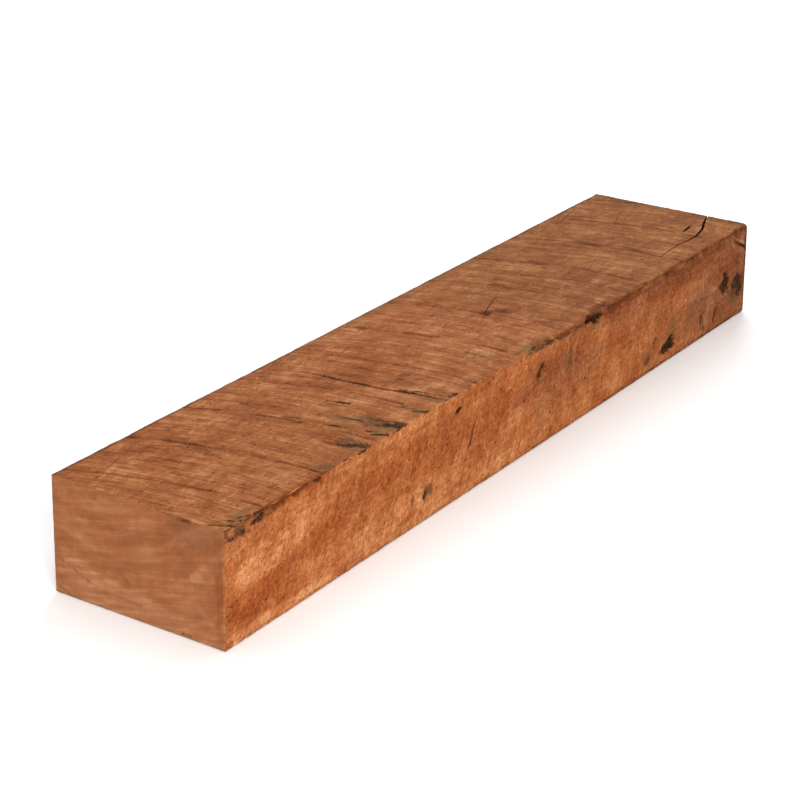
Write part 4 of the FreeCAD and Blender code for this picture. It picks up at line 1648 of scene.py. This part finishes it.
@dataclass(frozen=True)
class EndGrain(Finish):
    """The finish of a crosscut end: faint growth rings, and the lines of the docking saw."""

    tones: WoodTones
    pith_across: float = -31.0
    pith_height: float = 141.0
    saw_rise: float = 13.0
    relief: float = 0.3

    def build(self, effects: Effects) -> bpy.types.Material:
        """Make the material.

        Args:
            effects: the shared node groups.

        Returns:
            The material.
        """
        tree = self.start(rough=0.78)
        x, y, z = tree.axes()
        grain = tree.place(x, tree.math("MULTIPLY", y, 0.2), z)
        fibre = tree.group(effects.fibre, Grain=grain)
        off = tree.math("ABSOLUTE", tree.math("SUBTRACT", x, self.pith_across * MM))
        down = tree.math("ABSOLUTE", tree.math("SUBTRACT", self.pith_height * MM, z))
        squares = tree.math("ADD", tree.math("POWER", off, 2.0), tree.math("POWER", down, 2.0))
        warp = tree.grain((x, z), (30.0, 30.0), detail=1.0, roughness=0.55)
        ring = tree.math("MULTIPLY_ADD", warp, 0.02, tree.math("SQRT", squares))
        bands = tree.grain((ring, x), (5.0, 90.0), roughness=0.55)
        level = tree.math("MULTIPLY_ADD", x, -math.tan(math.radians(self.saw_rise)), z)
        lines = tree.grain((level, x), (1.7, 26.0), roughness=0.6)
        share = tree.balanced(
            (bands, 0.65), (lines, 0.65), (fibre["Cloud"], 0.45), (fibre["Mottle"], 0.35),
        )
        # The specks lift the colour paler: a painted highlight on lifted fibres.
        share = tree.total((share, 1.0), (fibre["Pore"], -0.07), (fibre["Speck"], 0.08))
        wood = tree.tones(share, self.tones)
        marks = tree.marks(effects.marks, self.tones, Wood=wood, Grain=grain, Streak=lines)
        height = tree.total(
            (lines, 1.0), (fibre["Mottle"], 0.3), (fibre["Pore"], -0.3), (marks["Gum"], -0.5),
        )
        return self.close(tree, marks["Colour"], height, self.relief, strength=0.8)


@dataclass(frozen=True)
class SplitWallShade(Finish):
    """The inside of a drying split, coloured near black: painted shade."""

    relief: float = 0.6

    def build(self) -> bpy.types.Material:
        """Make the material.

        Returns:
            The material.
        """
        tree = self.start(rough=0.9)
        threads = tree.grain(tree.axes(), (0.8, 14.0, 0.8), roughness=0.55)
        # Painted shade: the walls are coloured near black, over the real shade inside the split.
        colour = tree.mix(tree.remap(threads, 0.3, 0.7), srgb(30, 14, 8), srgb(74, 36, 20))
        return self.close(tree, colour, threads, self.relief)


TOP_TONES = WoodTones(
    line=srgb(76, 36, 16), dark=srgb(123, 68, 35), mid=srgb(152, 91, 52), light=srgb(194, 139, 95),
    # The top's painted shade, a little greener than on the other faces.
    dusk=(0.74, 0.77, 0.7, 1.0),
)
SIDE_TONES = WoodTones(
    line=srgb(88, 38, 16), dark=srgb(136, 70, 34), mid=srgb(173, 99, 53), light=srgb(212, 148, 97),
)
BACK_TONES = WoodTones(
    line=srgb(76, 34, 14), dark=srgb(120, 62, 30), mid=srgb(150, 86, 46), light=srgb(188, 128, 84),
)
END_TONES = WoodTones(
    line=srgb(96, 52, 28), dark=srgb(131, 77, 46), mid=srgb(149, 92, 57), light=srgb(178, 123, 83),
)


# ------------------------------------------------------------------------------ the studio


@dataclass(frozen=True)
class Softbox:
    """One soft light, aimed at the stick."""

    name: str
    place: tuple[float, float, float]
    size: float
    power: float
    warmth: tuple[float, float, float] = (1.0, 1.0, 1.0)

    def hang(self, target: Vector) -> None:
        """Add the light.

        Args:
            target: what it points at.
        """
        set_down()
        bpy.ops.object.light_add(type="AREA", location=self.place)
        lamp = bpy.context.object
        lamp.name = self.name
        lamp.data.shape = "SQUARE"
        lamp.data.size = self.size
        lamp.data.energy = self.power
        lamp.data.color = self.warmth
        lamp.rotation_euler = (target - Vector(self.place)).to_track_quat("-Z", "Y").to_euler()


@dataclass
class Studio:
    """Floor, sky, lights and camera."""

    centre: Vector
    azimuth: float = 33.99
    elevation: float = 22.94
    distance: float = 1.5667
    lens: float = 106.27
    aim: tuple[float, float, float] = (-6.8, -41.4, 37.5)
    roll: float = -0.12
    boxes: tuple[Softbox, ...] = (
        Softbox("key", (1.2, -1.4, 0.95), 0.9, 32.0, (1.0, 0.98, 0.95)),
        Softbox("overhead", (-0.2, 0.4, 4.0), 5.0, 95.0),
        Softbox("far_rake", (-0.8, 1.7, 0.9), 0.8, 20.0),
    )

    def build(self) -> None:
        """Set the studio up."""
        self._floor()
        self._sky()
        for box in self.boxes:
            box.hang(self.centre)
        self._camera()

    def _floor(self) -> None:
        """A plain pale floor."""
        set_down()
        bpy.ops.mesh.primitive_plane_add(size=40, location=(0, 0, 0))
        floor = bpy.context.object
        floor.name = "floor"
        material = bpy.data.materials.new("floor_paint")
        material.use_nodes = True
        shader = material.node_tree.nodes["Principled BSDF"]
        shader.inputs["Base Color"].default_value = (0.95, 0.95, 0.95, 1.0)
        shader.inputs["Roughness"].default_value = 0.9
        shader.inputs["Specular IOR Level"].default_value = 0.1
        floor.data.materials.append(material)

    def _sky(self) -> None:
        """An even white surround."""
        world = bpy.data.worlds.new("surround")
        world.use_nodes = True
        background = world.node_tree.nodes["Background"]
        background.inputs["Color"].default_value = (1.0, 1.0, 1.0, 1.0)
        background.inputs["Strength"].default_value = 0.36
        bpy.context.scene.world = world
        bpy.context.scene.view_settings.view_transform = "Standard"

    def _camera(self) -> None:
        """The camera, level but for a hair, looking down on the near end."""
        turn, tip = math.radians(self.azimuth), math.radians(self.elevation)
        back = Vector((math.sin(turn) * math.cos(tip), -math.cos(turn) * math.cos(tip), math.sin(tip)))
        aim = Vector(self.aim) * MM
        set_down()
        bpy.ops.object.camera_add(location=aim + back * self.distance)
        camera = bpy.context.object
        look = (-back).to_track_quat("-Z", "Y")
        camera.rotation_euler = look.to_euler()
        camera.rotation_euler.rotate_axis("Z", math.radians(self.roll))
        camera.data.sensor_width = 36.0
        camera.data.lens = self.lens
        camera.data.clip_end = 60.0
        bpy.context.scene.camera = camera


# ------------------------------------------------------------------------------ assembly


@dataclass
class HardwoodPost:
    """The whole part: the stick, its splits and its finishes."""

    stick: SawnStick

    def build(self) -> list[bpy.types.Object]:
        """Model and dress the post.

        Returns:
            Its pieces.
        """
        skin = self.stick.build(self._finishes())
        self.stick.cut_splits(SPLITS, SplitWallShade("split_wall_painted_shade").build())
        self.stick.paint_layers()
        self.stick.finish_normals()
        return [skin]

    def _finishes(self) -> dict[Face, bpy.types.Material]:
        """Make the finish of each side of the stick.

        Returns:
            The finish of each face.
        """
        side = {"upright": True, "strokes": 0.0, "wool": 1.0, "relief": 1.1}
        back = {"upright": True, "strokes": 0.2, "wool": 0.8, "shift": 0.7}
        under = {"blade_middle": -SAW.blade_middle, "kick_first": 20.0, "shift": 0.3}
        kinds = {
            Face.TOP: LongGrain("sawn_top", TOP_TONES),
            Face.POCKETED: LongGrain("woolly_side", SIDE_TONES, **side),
            Face.BACK: LongGrain("back_side", BACK_TONES, **back),
            Face.UNDER: LongGrain("sawn_underside", BACK_TONES, **under),
            Face.NEAR: EndGrain("docked_end", END_TONES),
            Face.FAR: EndGrain("far_end", END_TONES, pith_across=-25.0, saw_rise=-9.0),
        }
        effects = Effects().build()
        return {face: kind.build(effects) for face, kind in kinds.items()}


def main() -> None:
    """Build the post and the studio, and report every piece."""
    logging.basicConfig(level=logging.INFO, format="%(name)s: %(message)s")
    low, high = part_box(NODE)
    post = HardwoodPost(SawnStick(low, high))
    for piece in post.build():
        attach(piece, "root")
        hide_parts(NODE)
        piece.data.calc_loop_triangles()
        LOG.info("%s: %d triangles", piece.name, len(piece.data.loop_triangles))
    Studio(centre=(low + high) / 2).build()


if __name__ == "__main__":
    main()
